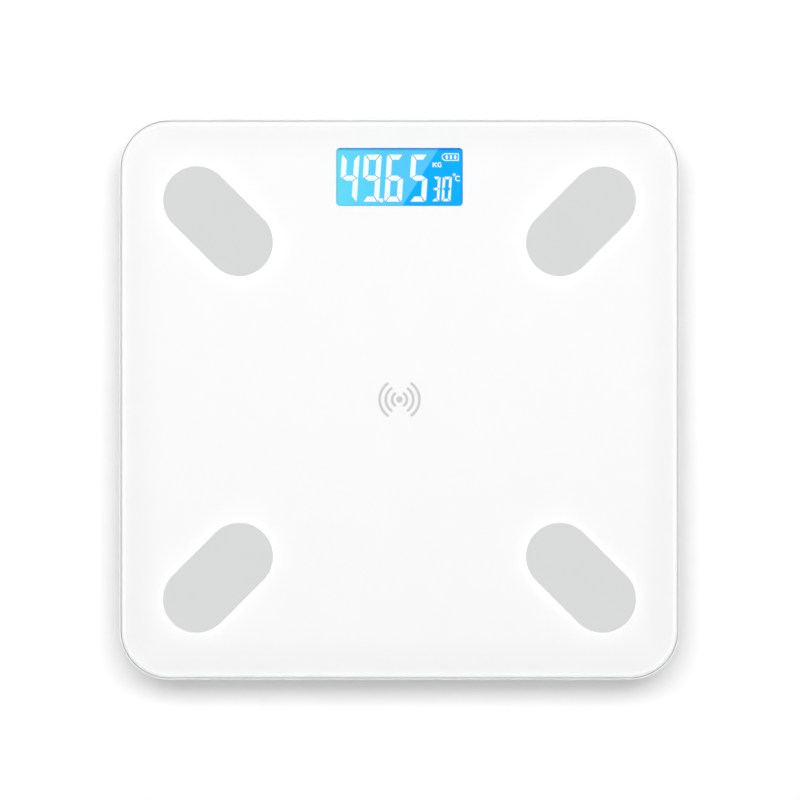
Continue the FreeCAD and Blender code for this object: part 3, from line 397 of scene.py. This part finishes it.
# %% [markdown]
# ## Metals
#
# The foot electrodes are stainless steel with a bead-blasted face: thousands of tiny dents turn
# its reflection into an even pale grey. The blast dents are finer than a tenth of a millimetre
# and are drawn at 0.4 mm. Load cells are stamped from cold-rolled steel, and the other metal
# parts are plated strip or wire. Metals keep the default index of refraction, and their colour
# is the colour of what they reflect.

# %% Metal finishes
finish["satin_steel"] = grained("bead_blasted_stainless", ("#DEDFDF", "#DADBDB"),
                                (0.5, 0.54), 14.0, 0.4, 0.003, Metallic=1.0)
finish["load_cell_steel"] = grained("cold_rolled_steel", ("#C3C5C9", "#B4B7BC"),
                                    (0.28, 0.42), 6.0, 0.4, 0.004, (12.0, 1.0, 1.0), Metallic=1.0)
finish["zinc_steel"] = grained("zinc_plated_steel", ("#C9CCD2", "#B9BDC6"),
                               (0.25, 0.4), 1.5, 0.4, 0.004, Metallic=1.0)
finish["tinned_steel"] = grained("tinned_steel_sheet", ("#CFCFCB", "#C2C2BD"),
                                 (0.2, 0.34), 2.5, 0.5, 0.004, (1.0, 8.0, 1.0), Metallic=1.0)
finish["nickel_steel"] = grained("nickel_plated_strip", ("#D6D2C8", "#CAC6BB"),
                                 (0.12, 0.25), 3.0, 0.5, 0.003, (1.0, 8.0, 1.0), Metallic=1.0)
finish["phosphor_bronze"] = grained("rolled_phosphor_bronze", ("#D9A066", "#C98F57"),
                                    (0.2, 0.32), 1.5, 0.4, 0.004, (8.0, 1.0, 1.0), Metallic=1.0)
finish["capacitor_can"] = grained("drawn_aluminium_can", ("#D8DADD", "#CDD0D4"),
                                  (0.2, 0.3), 2.0, 0.4, 0.003, (1.0, 1.0, 10.0), Metallic=1.0)
print("metals done,", len(finish), "finishes")

# %% [markdown]
# ## Glass, enamel and ink
#
# The platform is float glass, ground along its edge and tempered. A slab that lies on its own
# enamel hardly bends what is seen through it, so its faces let light straight through and only
# mirror the share that a glass surface mirrors: 4 % head on, and nearly all at a grazing angle,
# by Schlick's formula. The ground bevel and edge are another finish: fine pits scatter light,
# so they look like pale frosting. Which one a point has follows from how far its surface leans.

# %% Glass
HEAD_ON_MIRROR = 0.04


def float_glass(name, ground_tint, ground_share, edge_tint, edge_share):
    """Clear where the surface is level, ground where it leans, and denser and darker where it is
    upright; on the platform that darker edge is partly painted shade for the gap beside the rim.
    The mirrored share is 0.04 + 0.96 * f ** 5, where f is one minus the cosine of the angle of
    view. A share says how much of the light the pits stop."""
    material, tree = start_material(name)
    where = add(tree, "TexCoord").outputs["Object"]
    facing = add(tree, "LayerWeight", {"Blend": 0.5}).outputs["Facing"]
    steep = add(tree, "Math", {0: facing, 1: 5.0}, operation="POWER")
    mirrored = add(tree, "MapRange", {"Value": steep, "To Min": HEAD_ON_MIRROR, "To Max": 1.0})
    wiped = add(tree, "TexNoise", {"Vector": where, "Scale": 1 / (45.0 * MM), "Detail": 3.0})
    polish = add(tree, "MapRange", {"Value": wiped, "From Min": 0.45, "From Max": 0.75,
                                    "To Min": 0.01, "To Max": 0.035})
    through = add(tree, "BsdfTransparent", {"Color": linear("#FFFFFF")})
    mirror = add(tree, "BsdfGlossy", {"Color": linear("#FFFFFF"), "Roughness": polish})
    clear = add(tree, "MixShader", {0: mirrored, 1: through, 2: mirror})
    upward = add(tree, "SeparateXYZ", {"Vector": add(tree, "NewGeometry").outputs["Normal"]})
    level = add(tree, "Math", {0: upward.outputs["Z"]}, operation="ABSOLUTE")
    leaning = add(tree, "MapRange", {"Value": level, "From Min": 0.9, "From Max": 0.98,
                                     "To Min": 1.0, "To Max": 0.0})
    upright = add(tree, "MapRange", {"Value": level, "From Min": 0.3, "From Max": 0.6,
                                     "To Min": 1.0, "To Max": 0.0})
    pits = add(tree, "TexNoise", {"Vector": where, "Scale": 1 / (0.5 * MM), "Detail": 1.0})
    bump = add(tree, "Bump", {"Height": pits, "Distance": 0.01 * MM})
    # The upright edge's darker tint is partly painted shade, which darkens the gap beside it.
    upright_tint_and_shade = add(tree, "Mix", {"Factor": upright, "A": linear(ground_tint),
                                   "B": linear(edge_tint)}, data_type="RGBA")
    frosting = add(tree, "BsdfPrincipled", {"Base Color": upright_tint_and_shade, "Roughness": 0.35,
                                            "IOR": 1.52, "Normal": bump})
    stopped = add(tree, "MapRange", {"Value": upright, "To Min": ground_share,
                                     "To Max": edge_share})
    ground = add(tree, "MixShader", {0: stopped, 1: through, 2: frosting})
    surface = add(tree, "MixShader", {0: leaning, 1: clear, 2: ground})
    add(tree, "OutputMaterial", {"Surface": surface})
    return material


# The platform's dark grey-green edge is partly the colour of thick glass seen edge-on and partly
# painted shade for the narrow gap between the glass and the rim.
finish["tempered_glass"] = float_glass("tempered_float_glass", "#F6F8F8", 0.6, "#6F8079", 0.95)
finish["clear_acrylic"] = float_glass("polished_acrylic", "#BFE4FA", 0.5, "#9CCBE8", 0.7)
print("glass done")

# %% [markdown]
# The enamel is screen printed on the back of the glass. Light wanders sideways in the slab
# between the enamel and the top face, and near the edge some of it escapes, so the white turns
# a shade duller over the last 19 mm. The clear shader above can't do that, so the enamel's own
# colour has the fall-off. The grey sign of a radio link is a second pass of the same enamel.

# %% Enamel
EDGE_FADE = 19.0 * MM


def white_enamel(name, middle_tint, cloud_tint, edge_tint):
    """Enamel whose tint follows the distance from the platform's edge, which is half the
    platform's width less the larger of |x| and |y|."""
    material, tree = start_material(name)
    where = add(tree, "TexCoord").outputs["Object"]
    place = add(tree, "SeparateXYZ", {"Vector": where})
    across = add(tree, "Math", {0: place.outputs["X"]}, operation="ABSOLUTE")
    along = add(tree, "Math", {0: place.outputs["Y"]}, operation="ABSOLUTE")
    outward = add(tree, "Math", {0: across, 1: along}, operation="MAXIMUM")
    fade = add(tree, "MapRange", {"Value": outward, "From Min": platform_high.x - EDGE_FADE,
                                  "From Max": platform_high.x}, interpolation_type="SMOOTHSTEP")
    mesh_marks = add(tree, "TexNoise", {"Vector": where, "Scale": 1 / (0.8 * MM)})
    cloud = add(tree, "TexNoise", {"Vector": where, "Scale": 1 / (40.0 * MM), "Detail": 2.0})
    even = add(tree, "Mix", {"Factor": cloud, "A": linear(middle_tint), "B": linear(cloud_tint)},
               data_type="RGBA")
    tone = add(tree, "Mix", {"Factor": fade, "A": even, "B": linear(edge_tint)},
               data_type="RGBA")
    bump = add(tree, "Bump", {"Height": mesh_marks, "Distance": 0.002 * MM})
    shader = add(tree, "BsdfPrincipled", {"Base Color": tone, "Roughness": 0.55, "IOR": 1.5,
                                          "Specular IOR Level": 0.1, "Normal": bump})
    add(tree, "OutputMaterial", {"Surface": shader})
    return material


finish["white_ink"] = white_enamel("screen_printed_white_enamel", "#E0E0E0", "#DFDFDF",
                                   "#D9D9D9")
finish["grey_ink"] = grained("screen_printed_grey_enamel", ("#B8B8B8", "#B5B5B5"),
                             (0.5, 0.6), 4.0, 0.5, 0.002, IOR=1.5)
finish["display_glass"] = grained("display_glass_sheet", ("#0C2C4C", "#0A2846"),
                                  (0.05, 0.12), 8.0, 2.0, 0.001, IOR=1.52)
print("enamel done")

# %% [markdown]
# ## Electronics
#
# The circuit board is glass-epoxy laminate under a green solder mask, which shows the copper
# tracks below as lighter lines. Tracks run straight and square, so they are drawn with random
# cells measured by taxi-cab distance, whose borders run along and across. The same recipe in
# blue makes the radio's small board.

# %% Circuit boards
def solder_mask(name, bare, over_copper, spacing):
    """Mask colour over laminate and over copper; copper lies along the borders of cells that
    are measured by the sum of the distances in x and y."""
    material, tree = start_material(name)
    where = add(tree, "TexCoord").outputs["Object"]
    near = add(tree, "TexVoronoi", {"Vector": where, "Scale": 1 / (spacing * MM)},
               distance="MANHATTAN", feature="F1")
    second = add(tree, "TexVoronoi", {"Vector": where, "Scale": 1 / (spacing * MM)},
                 distance="MANHATTAN", feature="F2")
    border = add(tree, "Math", {0: second, 1: near}, operation="SUBTRACT")
    copper = add(tree, "MapRange", {"Value": border, "From Min": 0.06, "From Max": 0.1,
                                    "To Min": 1.0, "To Max": 0.0})
    tone = add(tree, "Mix", {"Factor": copper, "A": linear(bare), "B": linear(over_copper)},
               data_type="RGBA")
    bump = add(tree, "Bump", {"Height": copper, "Distance": 0.03 * MM})
    shader = add(tree, "BsdfPrincipled", {"Base Color": tone, "Roughness": 0.3, "Normal": bump,
                                          "IOR": 1.55})
    add(tree, "OutputMaterial", {"Surface": shader})
    return material


finish["circuit_board"] = solder_mask("green_solder_mask", "#0E5A2E", "#2A8A4C", 3.0)
finish["radio_board"] = solder_mask("blue_solder_mask", "#143A7A", "#2C5FB0", 1.6)
finish["black_resin"] = grained("cured_epoxy_drop", ("#131314", "#1A1A1B"), (0.12, 0.25),
                                3.0, 2.5, 0.03, IOR=1.55)
finish["chip_ceramic"] = grained("fired_chip_ceramic", ("#A98B68", "#8E7355"), (0.4, 0.55),
                                 0.8, 0.3, 0.01, IOR=1.6)
finish["lamp_resin"] = grained("phosphor_filled_silicone", ("#EFE28A", "#E8D978"), (0.3, 0.4),
                               1.0, 0.3, 0.01, IOR=1.41)
finish["white_film"] = grained("pressed_polyester_film", ("#F4F6F7", "#EDF0F2"), (0.45, 0.55),
                               6.0, 0.4, 0.004, IOR=1.58)


# %% Striped contact rubber
def layered_rubber(name, carbon, silicone, pitch):
    """Thin conducting and insulating layers along x. Real layers are 0.05 mm; they are drawn
    five times as thick, so that the stripes show."""
    material, tree = start_material(name)
    where = add(tree, "TexCoord").outputs["Object"]
    place = add(tree, "SeparateXYZ", {"Vector": where})
    count = add(tree, "Math", {0: place.outputs["X"], 1: 1 / (pitch * MM)}, operation="MULTIPLY")
    phase = add(tree, "Math", {0: count}, operation="FRACT")
    band = add(tree, "MapRange", {"Value": phase, "From Min": 0.45, "From Max": 0.55})
    tone = add(tree, "Mix", {"Factor": band, "A": linear(carbon), "B": linear(silicone)},
               data_type="RGBA")
    shader = add(tree, "BsdfPrincipled", {"Base Color": tone, "Roughness": 0.6, "IOR": 1.41})
    add(tree, "OutputMaterial", {"Surface": shader})
    return material


finish["black_rubber"] = layered_rubber("layered_contact_rubber", "#151516", "#8E9296", 0.5)
print("electronics done,", len(finish), "finishes")

# %% [markdown]
# ## The cells
#
# An alkaline cell is a steel can in a printed plastic sleeve: one colour over most of its
# length and a metallic band at the positive end. The two cells lie head to tail, so each has a
# sleeve of its own, with the band measured from its own positive end. No print is drawn on it.

# %% Sleeve of a cell
CELL_LENGTH = 45.0 * MM
STEEL, COPPER_BAND, PALE_LINE, GREEN_BODY = "#C9C8C4", "#B9783E", "#E8E4DA", "#1D4B3A"


def cell_sleeve(name, positive_x, direction):
    """Colour by the distance from the positive end, direction * (positive_x - x): bare steel
    on the end cap, then the band, a thin pale line and the body colour."""
    material, tree = start_material(name)
    where = add(tree, "TexCoord").outputs["Object"]
    place = add(tree, "SeparateXYZ", {"Vector": where})
    offset = add(tree, "Math", {0: positive_x, 1: place.outputs["X"]}, operation="SUBTRACT")
    distance = add(tree, "Math", {0: offset, 1: direction}, operation="MULTIPLY")
    share = add(tree, "MapRange", {"Value": distance, "From Max": CELL_LENGTH})
    ramp = add(tree, "ValToRGB", {"Fac": share})
    ramp.color_ramp.interpolation = "CONSTANT"
    first, last = ramp.color_ramp.elements
    first.color = linear(STEEL)
    last.position = 0.985
    last.color = linear(STEEL)
    for position, tint in ((0.028, COPPER_BAND), (0.24, PALE_LINE), (0.26, GREEN_BODY)):
        ramp.color_ramp.elements.new(position).color = linear(tint)
    scuffs = add(tree, "TexNoise", {"Vector": where, "Scale": 1 / (3.0 * MM), "Detail": 3.0})
    polish = add(tree, "MapRange", {"Value": scuffs, "To Min": 0.18, "To Max": 0.38})
    shader = add(tree, "BsdfPrincipled", {"Base Color": ramp.outputs["Color"],
                                          "Roughness": polish, "Metallic": 0.6,
                                          "Coat Weight": 0.5})
    add(tree, "OutputMaterial", {"Surface": shader})
    return material


first_low, first_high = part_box("battery_cell_1")
second_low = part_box("battery_cell_2")[0]
sleeves = {"battery_cell_1": cell_sleeve("printed_sleeve_right", first_high.x, 1.0),
           "battery_cell_2": cell_sleeve("printed_sleeve_left", second_low.x, -1.0)}
print("cells", round((first_high.x - first_low.x) / MM, 1), "mm long")

# %% [markdown]
# ## The display
#
# Under the window lies a backlit liquid-crystal panel. Two lamps at its left end feed a clear
# plate, so the light is cyan near them and a deeper blue at the far end. The film is darkened
# with painted shade along the window's edges, most along the back edge. Over its left part lies
# a painted reflection: a lighter zone that meets the plain blue in a slanting line. The whole
# picture is worked out from the place on the film, so it needs no image.

# %% Where the window is
film_low, film_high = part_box("lcd_polariser")
WINDOW_W = 58.9 * MM
WINDOW_D = 27.0 * MM
window_x = (film_low.x + film_high.x) / 2
window_y = (film_low.y + film_high.y) / 2
film_top = film_high.z
print("window centre", round(window_x, 5), round(window_y, 5), "film top", round(film_top, 5))


# %% Lit film of the display
# The lighter zone, its slant and its blur are a painted reflection lying over the backlight.
GLARE_LEAN = 0.632
GLARE_END_X = 9.8 * MM
GLARE_EDGE_BLUR = 0.15 * MM
PLAIN_BLUE = "#05ADFD"
GLOW_AND_GLARE_STOPS = ((0.0, "#64DAF0"), (0.2, "#5BD3FA"), (0.45, "#54C9F8"), (0.8, "#53C6FE"))
# Painted shade: tints that darken the film along each edge of the window, most along the back.
PAINTED_EDGE_SHADOWS = (("X", WINDOW_W / 2, -1, "#EADCDF", 1.0 * MM),
               ("X", WINDOW_W / 2, 1, "#CFD6DA", 1.2 * MM),
               ("Y", WINDOW_D / 2, 1, "#7D97CF", 1.5 * MM),
               ("Y", WINDOW_D / 2, -1, "#DCE4EC", 1.0 * MM))


def lit_film(name):
    """Emission from the place on the film: a blend along x inside the lighter zone, which is a
    painted reflection over the backlight, a plain blue where x - lean * y passes the zone's end,
    and painted shade towards each edge."""
    material, tree = start_material(name)
    where = add(tree, "TexCoord").outputs["Object"]
    centred = add(tree, "Mapping", {"Vector": where, "Location": (-window_x, -window_y, 0.0)})
    place = add(tree, "SeparateXYZ", {"Vector": centred})
    along = add(tree, "MapRange", {"Value": place.outputs["X"], "From Min": -WINDOW_W / 2,
                                   "From Max": WINDOW_W / 2})
    glow = add(tree, "ValToRGB", {"Fac": along})
    ends = glow.color_ramp.elements
    ends[0].color = linear(GLOW_AND_GLARE_STOPS[0][1])
    ends[1].position = GLOW_AND_GLARE_STOPS[-1][0]
    ends[1].color = linear(GLOW_AND_GLARE_STOPS[-1][1])
    for position, tint in GLOW_AND_GLARE_STOPS[1:-1]:
        ends.new(position).color = linear(tint)
    # The painted reflection ends in a slanting line where x - lean * y passes its end.
    lean = add(tree, "Math", {0: place.outputs["Y"], 1: GLARE_LEAN}, operation="MULTIPLY")
    past = add(tree, "Math", {0: place.outputs["X"], 1: lean}, operation="SUBTRACT")
    zone = add(tree, "MapRange", {"Value": past, "From Min": GLARE_END_X - GLARE_EDGE_BLUR,
                                  "From Max": GLARE_END_X + GLARE_EDGE_BLUR})
    shaded = add(tree, "Mix", {"Factor": zone, "A": glow.outputs["Color"],
                               "B": linear(PLAIN_BLUE)}, data_type="RGBA")
    # Painted shade: each edge of the window darkens the film by a multiplied tint.
    for axis, half, side, tint, width in PAINTED_EDGE_SHADOWS:
        edge = add(tree, "MapRange", {"Value": place.outputs[axis],
                                      "From Min": side * (half - width),
                                      "From Max": side * half}, interpolation_type="SMOOTHSTEP")
        shaded = add(tree, "Mix", {"Factor": edge, "A": shaded, "B": linear(tint)},
                     data_type="RGBA", blend_type="MULTIPLY")
    dust = add(tree, "TexNoise", {"Vector": where, "Scale": 1 / (2.5 * MM), "Detail": 2.0})
    sheen = add(tree, "MapRange", {"Value": dust, "To Min": 0.25, "To Max": 0.4})
    shader = add(tree, "BsdfPrincipled", {"Base Color": linear("#041020"), "Roughness": sheen,
                                          "Specular IOR Level": 0.05,
                                          "Emission Color": shaded,
                                          "Emission Strength": 1.12})
    add(tree, "OutputMaterial", {"Surface": shader})
    return material


finish["polariser_film"] = lit_film("backlit_film_with_painted_glare")
print("film done,", len(finish), "finishes")

# %% [markdown]
# ## The lit characters
#
# The panel draws its figures from segments: bars with mitred ends, a hair's breadth apart, all
# leaning a few degrees. Only three bars need drawing, because the others are mirror images of
# them in the figure's middle lines. A figure is a list of the bars that are lit. All lengths of
# the characters are in millimetres, from the middle of the window.

# %% Segments of a figure
SLANT = math.tan(math.radians(3.6))
GAP = 0.18


def mirrored(outline, width=None, height=None):
    """Outline reflected in x -> width - x or y -> height - y, in its old turning direction."""
    flipped = outline.copy()
    if width is not None:
        flipped[:, 0] = width - flipped[:, 0]
    if height is not None:
        flipped[:, 1] = height - flipped[:, 1]
    return flipped[::-1]


def segments(width, height, bar, gap):
    """The seven bars of an upright figure whose outside is width by height, as outlines, with
    twice the gap between neighbours."""
    middle = height / 2
    corner = 0.3 * bar
    top = np.array([(corner + gap, height), (bar + gap, height - bar),
                    (width - bar - gap, height - bar), (width - corner - gap, height)])
    upper_left = np.array([(0.0, middle + 0.2 * bar), (0.25 * bar, middle + 0.08 * bar),
                           (bar, middle + 0.5 * bar + gap), (bar, height - bar - gap),
                           (corner - gap, height - 0.05 * bar), (0.0, height - 0.4 * bar)])
    cross = np.array([(0.3 * bar + gap, middle), (bar + gap, middle - bar / 2),
                      (width - bar - gap, middle - bar / 2), (width - 0.3 * bar - gap, middle),
                      (width - bar - gap, middle + bar / 2), (bar + gap, middle + bar / 2)])
    return {"top": top, "upper_left": upper_left, "cross": cross,
            "upper_right": mirrored(upper_left, width=width),
            "bottom": mirrored(top, height=height),
            "lower_left": mirrored(upper_left, height=height),
            "lower_right": mirrored(mirrored(upper_left, width=width), height=height)}


LIT = {0: ("top", "upper_left", "upper_right", "lower_left", "lower_right", "bottom"),
       3: ("top", "upper_right", "cross", "lower_right", "bottom"),
       4: ("upper_left", "upper_right", "cross", "lower_right"),
       5: ("top", "upper_left", "cross", "lower_right", "bottom"),
       6: ("top", "upper_left", "cross", "lower_left", "lower_right", "bottom"),
       9: ("top", "upper_left", "upper_right", "cross", "lower_right", "bottom")}


def figure(number, left, bottom, width, height, bar, gap=GAP):
    """Outlines of the lit bars of a figure, leaning by x -> x + SLANT * (y - bottom)."""
    shapes = []
    for name in LIT[number]:
        outline = segments(width, height, bar, gap)[name].copy()
        outline[:, 0] += left + SLANT * outline[:, 1]
        outline[:, 1] += bottom
        shapes.append(outline)
    return shapes


print("a figure leans", round(SLANT, 3), "mm for each mm of its height")

# %% [markdown]
# ## Signs
#
# The small signs are drawn with a pen of constant width: the unit, the battery's outline, the
# degree ring. A pen line is a ribbon, its middle line moved half the pen's width to each side.

# %% Pen lines and ovals
def pen(path, width, closed=False):
    """Quads along a path: each point moves width / 2 along the normal of the path there, and
    at a bend it moves further, by one over the cosine of half the turn."""
    path = np.asarray(path, float)
    ahead = np.roll(path, -1, axis=0) - path
    behind = np.roll(ahead, 1, axis=0)
    if not closed:
        ahead[-1] = behind[-1]
        behind[0] = ahead[0]
    ahead /= np.linalg.norm(ahead, axis=1, keepdims=True)
    behind /= np.linalg.norm(behind, axis=1, keepdims=True)
    along = ahead + behind
    along /= np.linalg.norm(along, axis=1, keepdims=True)
    reach = width / 2 / np.sum(along * ahead, axis=1)
    normal = np.stack([-along[:, 1], along[:, 0]], axis=1) * reach[:, None]
    left, right = path + normal, path - normal
    steps = range(len(path) if closed else len(path) - 1)
    return [np.array([right[i], right[(i + 1) % len(path)], left[(i + 1) % len(path)], left[i]])
            for i in steps]


def oval(x, y, half_width, half_height, start=0.0, end=360.0, steps=24):
    """Points (x + a cos t, y + b sin t) for t from start to end degrees."""
    t = np.radians(np.linspace(start, end, steps, endpoint=end - start < 360.0))
    return np.stack([x + half_width * np.cos(t), y + half_height * np.sin(t)], axis=1)


# %% Characters as a piece
INK_T = 0.03 * MM
INK_LEVEL, GAP_LEVEL = 0.05 * MM, 0.015 * MM


def lit_shapes(name, outlines, level=INK_LEVEL):
    """One object of flat outlines at a level above the film, made as thick as ink."""
    points = np.concatenate(outlines) * MM
    z = np.full((len(points), 1), film_top + level)
    points = np.hstack([points + (window_x, window_y), z])
    ends = np.cumsum([len(outline) for outline in outlines])
    faces = [list(range(end - len(outline), end)) for outline, end in zip(outlines, ends)]
    piece = make_object(name, points, faces, smooth=False)
    solid = piece.modifiers.new("ink_thickness", "SOLIDIFY")
    solid.thickness = INK_T
    solid.offset = -1.0
    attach(piece, "base")
    print(name, len(faces), "shapes")
    return piece


# %% [markdown]
# The weight has four figures and a point, and the small reading beside it has two. A lower layer
# has the same figures with no gaps, so it shows only as hair lines between the bars.

# %% Figures
WEIGHT_SIZE = {"bottom": -11.45, "width": 8.2, "height": 21.9, "bar": 2.4}
WARMTH_SIZE = {"bottom": -11.25, "height": 11.4, "bar": 1.2}
weight_sizes = [(number, {"left": left, **WEIGHT_SIZE})
                for number, left in ((4, -28.1), (9, -17.8), (6, -7.15), (5, 4.15))]
warmth_sizes = [(number, {"left": left, "width": width, **WARMTH_SIZE})
                for number, left, width in ((3, 14.75, 3.7), (0, 19.5, 4.2))]


def bars(sizes, gap=GAP):
    """Outlines of all lit bars of some figures, one after another."""
    return [bar for number, size in sizes for bar in figure(number, gap=gap, **size)]


decimal_point = oval(-8.5, -10.8, 0.98, 0.98)
weight_figures = lit_shapes("weight_figures", bars(weight_sizes) + [decimal_point])
warmth_figures = lit_shapes("temperature_figures", bars(warmth_sizes))
gap_lines = lit_shapes("segment_gaps", bars(weight_sizes + warmth_sizes, gap=0.0),
                       level=GAP_LEVEL)

# %% Unit signs and battery sign
degree_sign = pen(oval(25.45, 1.05, 0.5, 0.5), 0.34, closed=True)
centigrade = pen(oval(27.2, -0.7, 1.12, 1.05, 45.0, 315.0), 0.5)
kilo = (pen([(15.6, 4.6), (15.75, 6.8)], 0.55) + pen([(17.35, 6.75), (15.8, 5.65)], 0.5)
        + pen([(16.1, 5.85), (17.25, 4.65)], 0.5))
gram = (pen(oval(18.75, 5.7, 0.9, 0.95, 50.0, 330.0), 0.5)
        + pen([(18.85, 5.65), (19.6, 5.65)], 0.42))
unit_signs = lit_shapes("unit_signs", degree_sign + centigrade + kilo + gram)

shell = [(21.0, 7.75), (27.35, 7.75), (27.35, 10.8), (21.0, 10.8), (19.9, 9.9), (19.9, 8.65)]
battery = pen(shell, 0.42, closed=True)
battery += [oval(x, 9.25, 0.55, 1.0, steps=16) for x in (22.0, 23.95, 25.9)]
battery_sign = lit_shapes("battery_sign", battery)

# %% [markdown]
# The characters are clear holes in the panel's picture: the white of the backlight comes
# straight through them, so they are the brightest thing in the window. The hair lines between
# neighbouring segments aren't driven and stay dark. They are one piece just under the figures,
# which shows only between the segments.

# %% Light through the characters
def backlight(name, tints, body, strength):
    """Emission whose colour wavers between two tints over about 6 mm, on a dark body."""
    material, tree = start_material(name)
    where = add(tree, "TexCoord").outputs["Object"]
    waver = add(tree, "TexNoise", {"Vector": where, "Scale": 1 / (6.0 * MM), "Detail": 1.0})
    tone = add(tree, "Mix", {"Factor": waver, "A": linear(tints[0]), "B": linear(tints[1])},
               data_type="RGBA")
    shader = add(tree, "BsdfPrincipled", {"Base Color": linear(body), "Roughness": 0.4,
                                          "Specular IOR Level": 0.05,
                                          "Emission Color": tone,
                                          "Emission Strength": strength})
    add(tree, "OutputMaterial", {"Surface": shader})
    return material


character_light = backlight("clear_segment_backlight", ("#F0FCFF", "#F6FFFF"), "#30383C", 1.05)
idle_liquid = backlight("undriven_liquid_crystal", ("#1E5F78", "#24667E"), "#101C22", 1.0)
for piece in (weight_figures, warmth_figures, unit_signs, battery_sign):
    piece.data.materials.append(character_light)
gap_lines.data.materials.append(idle_liquid)
print("characters have", len(weight_figures.data.polygons), "weight shapes lit")

# %% [markdown]
# ## The rubber pads
#
# Each foot stands on a rubber ring. Its lower side has two round grooves, soft lips and fine
# radial ribs that grip a wet floor. It is a surface of two parameters: a profile across the
# ring, and the angle round it. The profile's height over the floor is a sum of what each
# feature lifts, and nothing goes below the floor.

# %% Rubber pads with a tread
PAD_INNER, PAD_OUTER = 10.2 * MM, 20.0 * MM
LIP_R = 0.4 * MM
GROOVES = (13.0 * MM, 16.6 * MM)
GROOVE_HALF, GROOVE_SLOPE, GROOVE_DEPTH = 0.45 * MM, 0.25 * MM, 0.6 * MM
RIB_COUNT, RIB_DEPTH = 90, 0.12 * MM
STEPS_ROUND, STEPS_LIP, STEPS_ACROSS = 5 * RIB_COUNT, 6, 44


def rubber_pad(name, foot):
    """Ring with a tread: over the radius r and angle t its lower side is at height
    lip(r) + groove(r) + land(r) * ribs(t), where the lip is a quarter circle at each edge, a
    groove is a trench with sloping sides, and the ribs are (1 - cos(n t)) / 2."""
    low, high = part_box(foot)
    centre = (low + high) / 2
    turn = np.linspace(0, np.pi / 2, STEPS_LIP)
    r = np.concatenate([PAD_INNER + LIP_R * (1 - np.cos(turn)),
                        np.linspace(PAD_INNER + LIP_R, PAD_OUTER - LIP_R, STEPS_ACROSS)[1:-1],
                        PAD_OUTER - LIP_R * (1 - np.sin(turn))])
    edge = np.clip(LIP_R - np.minimum(r - PAD_INNER, PAD_OUTER - r), 0, LIP_R)
    lip = LIP_R - np.sqrt(LIP_R ** 2 - edge ** 2)
    offset = np.min([np.abs(r - groove) for groove in GROOVES], axis=0)
    trench = np.clip((GROOVE_HALF + GROOVE_SLOPE - offset) / GROOVE_SLOPE, 0, 1)
    land = np.clip(1 - trench - edge / LIP_R, 0, 1)
    angle = np.linspace(0, 2 * np.pi, STEPS_ROUND, endpoint=False)
    ribs = (1 - np.cos(RIB_COUNT * angle)) / 2
    underside = (lip + GROOVE_DEPTH * trench)[:, None] + RIB_DEPTH * land[:, None] * ribs
    top = np.full((2, STEPS_ROUND), high.z - low.z)
    heights = low.z + np.vstack([underside, top])
    radii = np.concatenate([r, [PAD_OUTER, PAD_INNER]])[:, None]
    x = centre.x + radii * np.cos(angle)
    y = centre.y + radii * np.sin(angle)
    points = np.stack([x, y, heights], axis=-1).reshape(-1, 3)
    faces = grid_faces(len(radii), STEPS_ROUND, wrap_rows=True, wrap_columns=True)
    return make_object(name, points, faces)


for corner in ("front_left", "front_right", "back_left", "back_right"):
    pad = rubber_pad("treaded_pad_" + corner, "foot_pad_" + corner)
    pad.data.materials.append(finish["grey_rubber"])
    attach(pad, "foot_" + corner)
    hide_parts("foot_pad_" + corner)
print("pads have", len(pad.data.polygons), "faces each")

# %% [markdown]
# ## The foam under the cells
#
# A pad of cut foam is glued to the battery cover and keeps the cells from rattling. It is flat
# where it is glued, crowned on top, with a shallow trough pressed in under each cell, and its
# sides pull in a little between the corners. It is one sheet of two parameters that runs down
# to the cover all round, closed by one flat face. The sines set the grid's lines close together
# near the edges, where the sheet turns down.

# %% Foam pad
PULL_IN = 0.02
SHARPNESS = 8
TROUGH_DEPTH, TROUGH_HALF = 0.25 * MM, 2.2 * MM
ROWS, COLUMNS = 61, 41


def crown(u):
    """One over the middle and zero at u = -1 and 1: the root (1 - |u| ** n) ** (1 / n)."""
    return (1 - np.clip(np.abs(u), 0, 1) ** SHARPNESS) ** (1 / SHARPNESS)


low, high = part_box("cell_foam")
centre, half = (low + high) / 2, (high - low) / 2
u = np.sin(np.linspace(-np.pi / 2, np.pi / 2, ROWS))[:, None]
v = np.sin(np.linspace(-np.pi / 2, np.pi / 2, COLUMNS))[None, :]
x = centre.x + half.x * u * (1 - PULL_IN * (1 - v ** 2))
y = centre.y + half.y * v * (1 - PULL_IN * (1 - u ** 2))
lift = crown(u) * crown(v)
pressed = np.zeros_like(lift)
for cell in ("battery_cell_1", "battery_cell_2"):
    cell_low, cell_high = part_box(cell)
    pressed += np.exp(-((y - (cell_low.y + cell_high.y) / 2) / TROUGH_HALF) ** 2)
z = low.z + (2 * half.z - TROUGH_DEPTH * pressed) * lift
number = np.arange(ROWS * COLUMNS).reshape(ROWS, COLUMNS)
rim = np.concatenate([number[:-1, 0], number[-1, :-1], number[:0:-1, -1], number[0, :0:-1]])
faces = grid_faces(ROWS, COLUMNS) + [rim.tolist()]
foam_pad = make_object("cell_foam_pad", np.stack([x, y, z], axis=-1).reshape(-1, 3),
                       [face[::-1] for face in faces])
foam_pad.data.materials.append(finish["black_foam"])
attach(foam_pad, "battery_cover")
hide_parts("cell_foam")
print("foam pad is", round(float(z.max() - z.min()) / MM, 2), "mm thick")

# %% [markdown]
# ## Giving every part its finish
#
# The record lists each node with the slot of its finish. The nodes' shapes are right already,
# so each only has its material put in its slots. The two cells take their own sleeves.

# %% Finish of each node
for part in frame["record"]["subparts"]:
    material = sleeves.get(part["node"]) or finish[part["material_slot"]]
    for slot in nodes[part["node"]].material_slots:
        slot.link = "OBJECT"
        slot.material = material
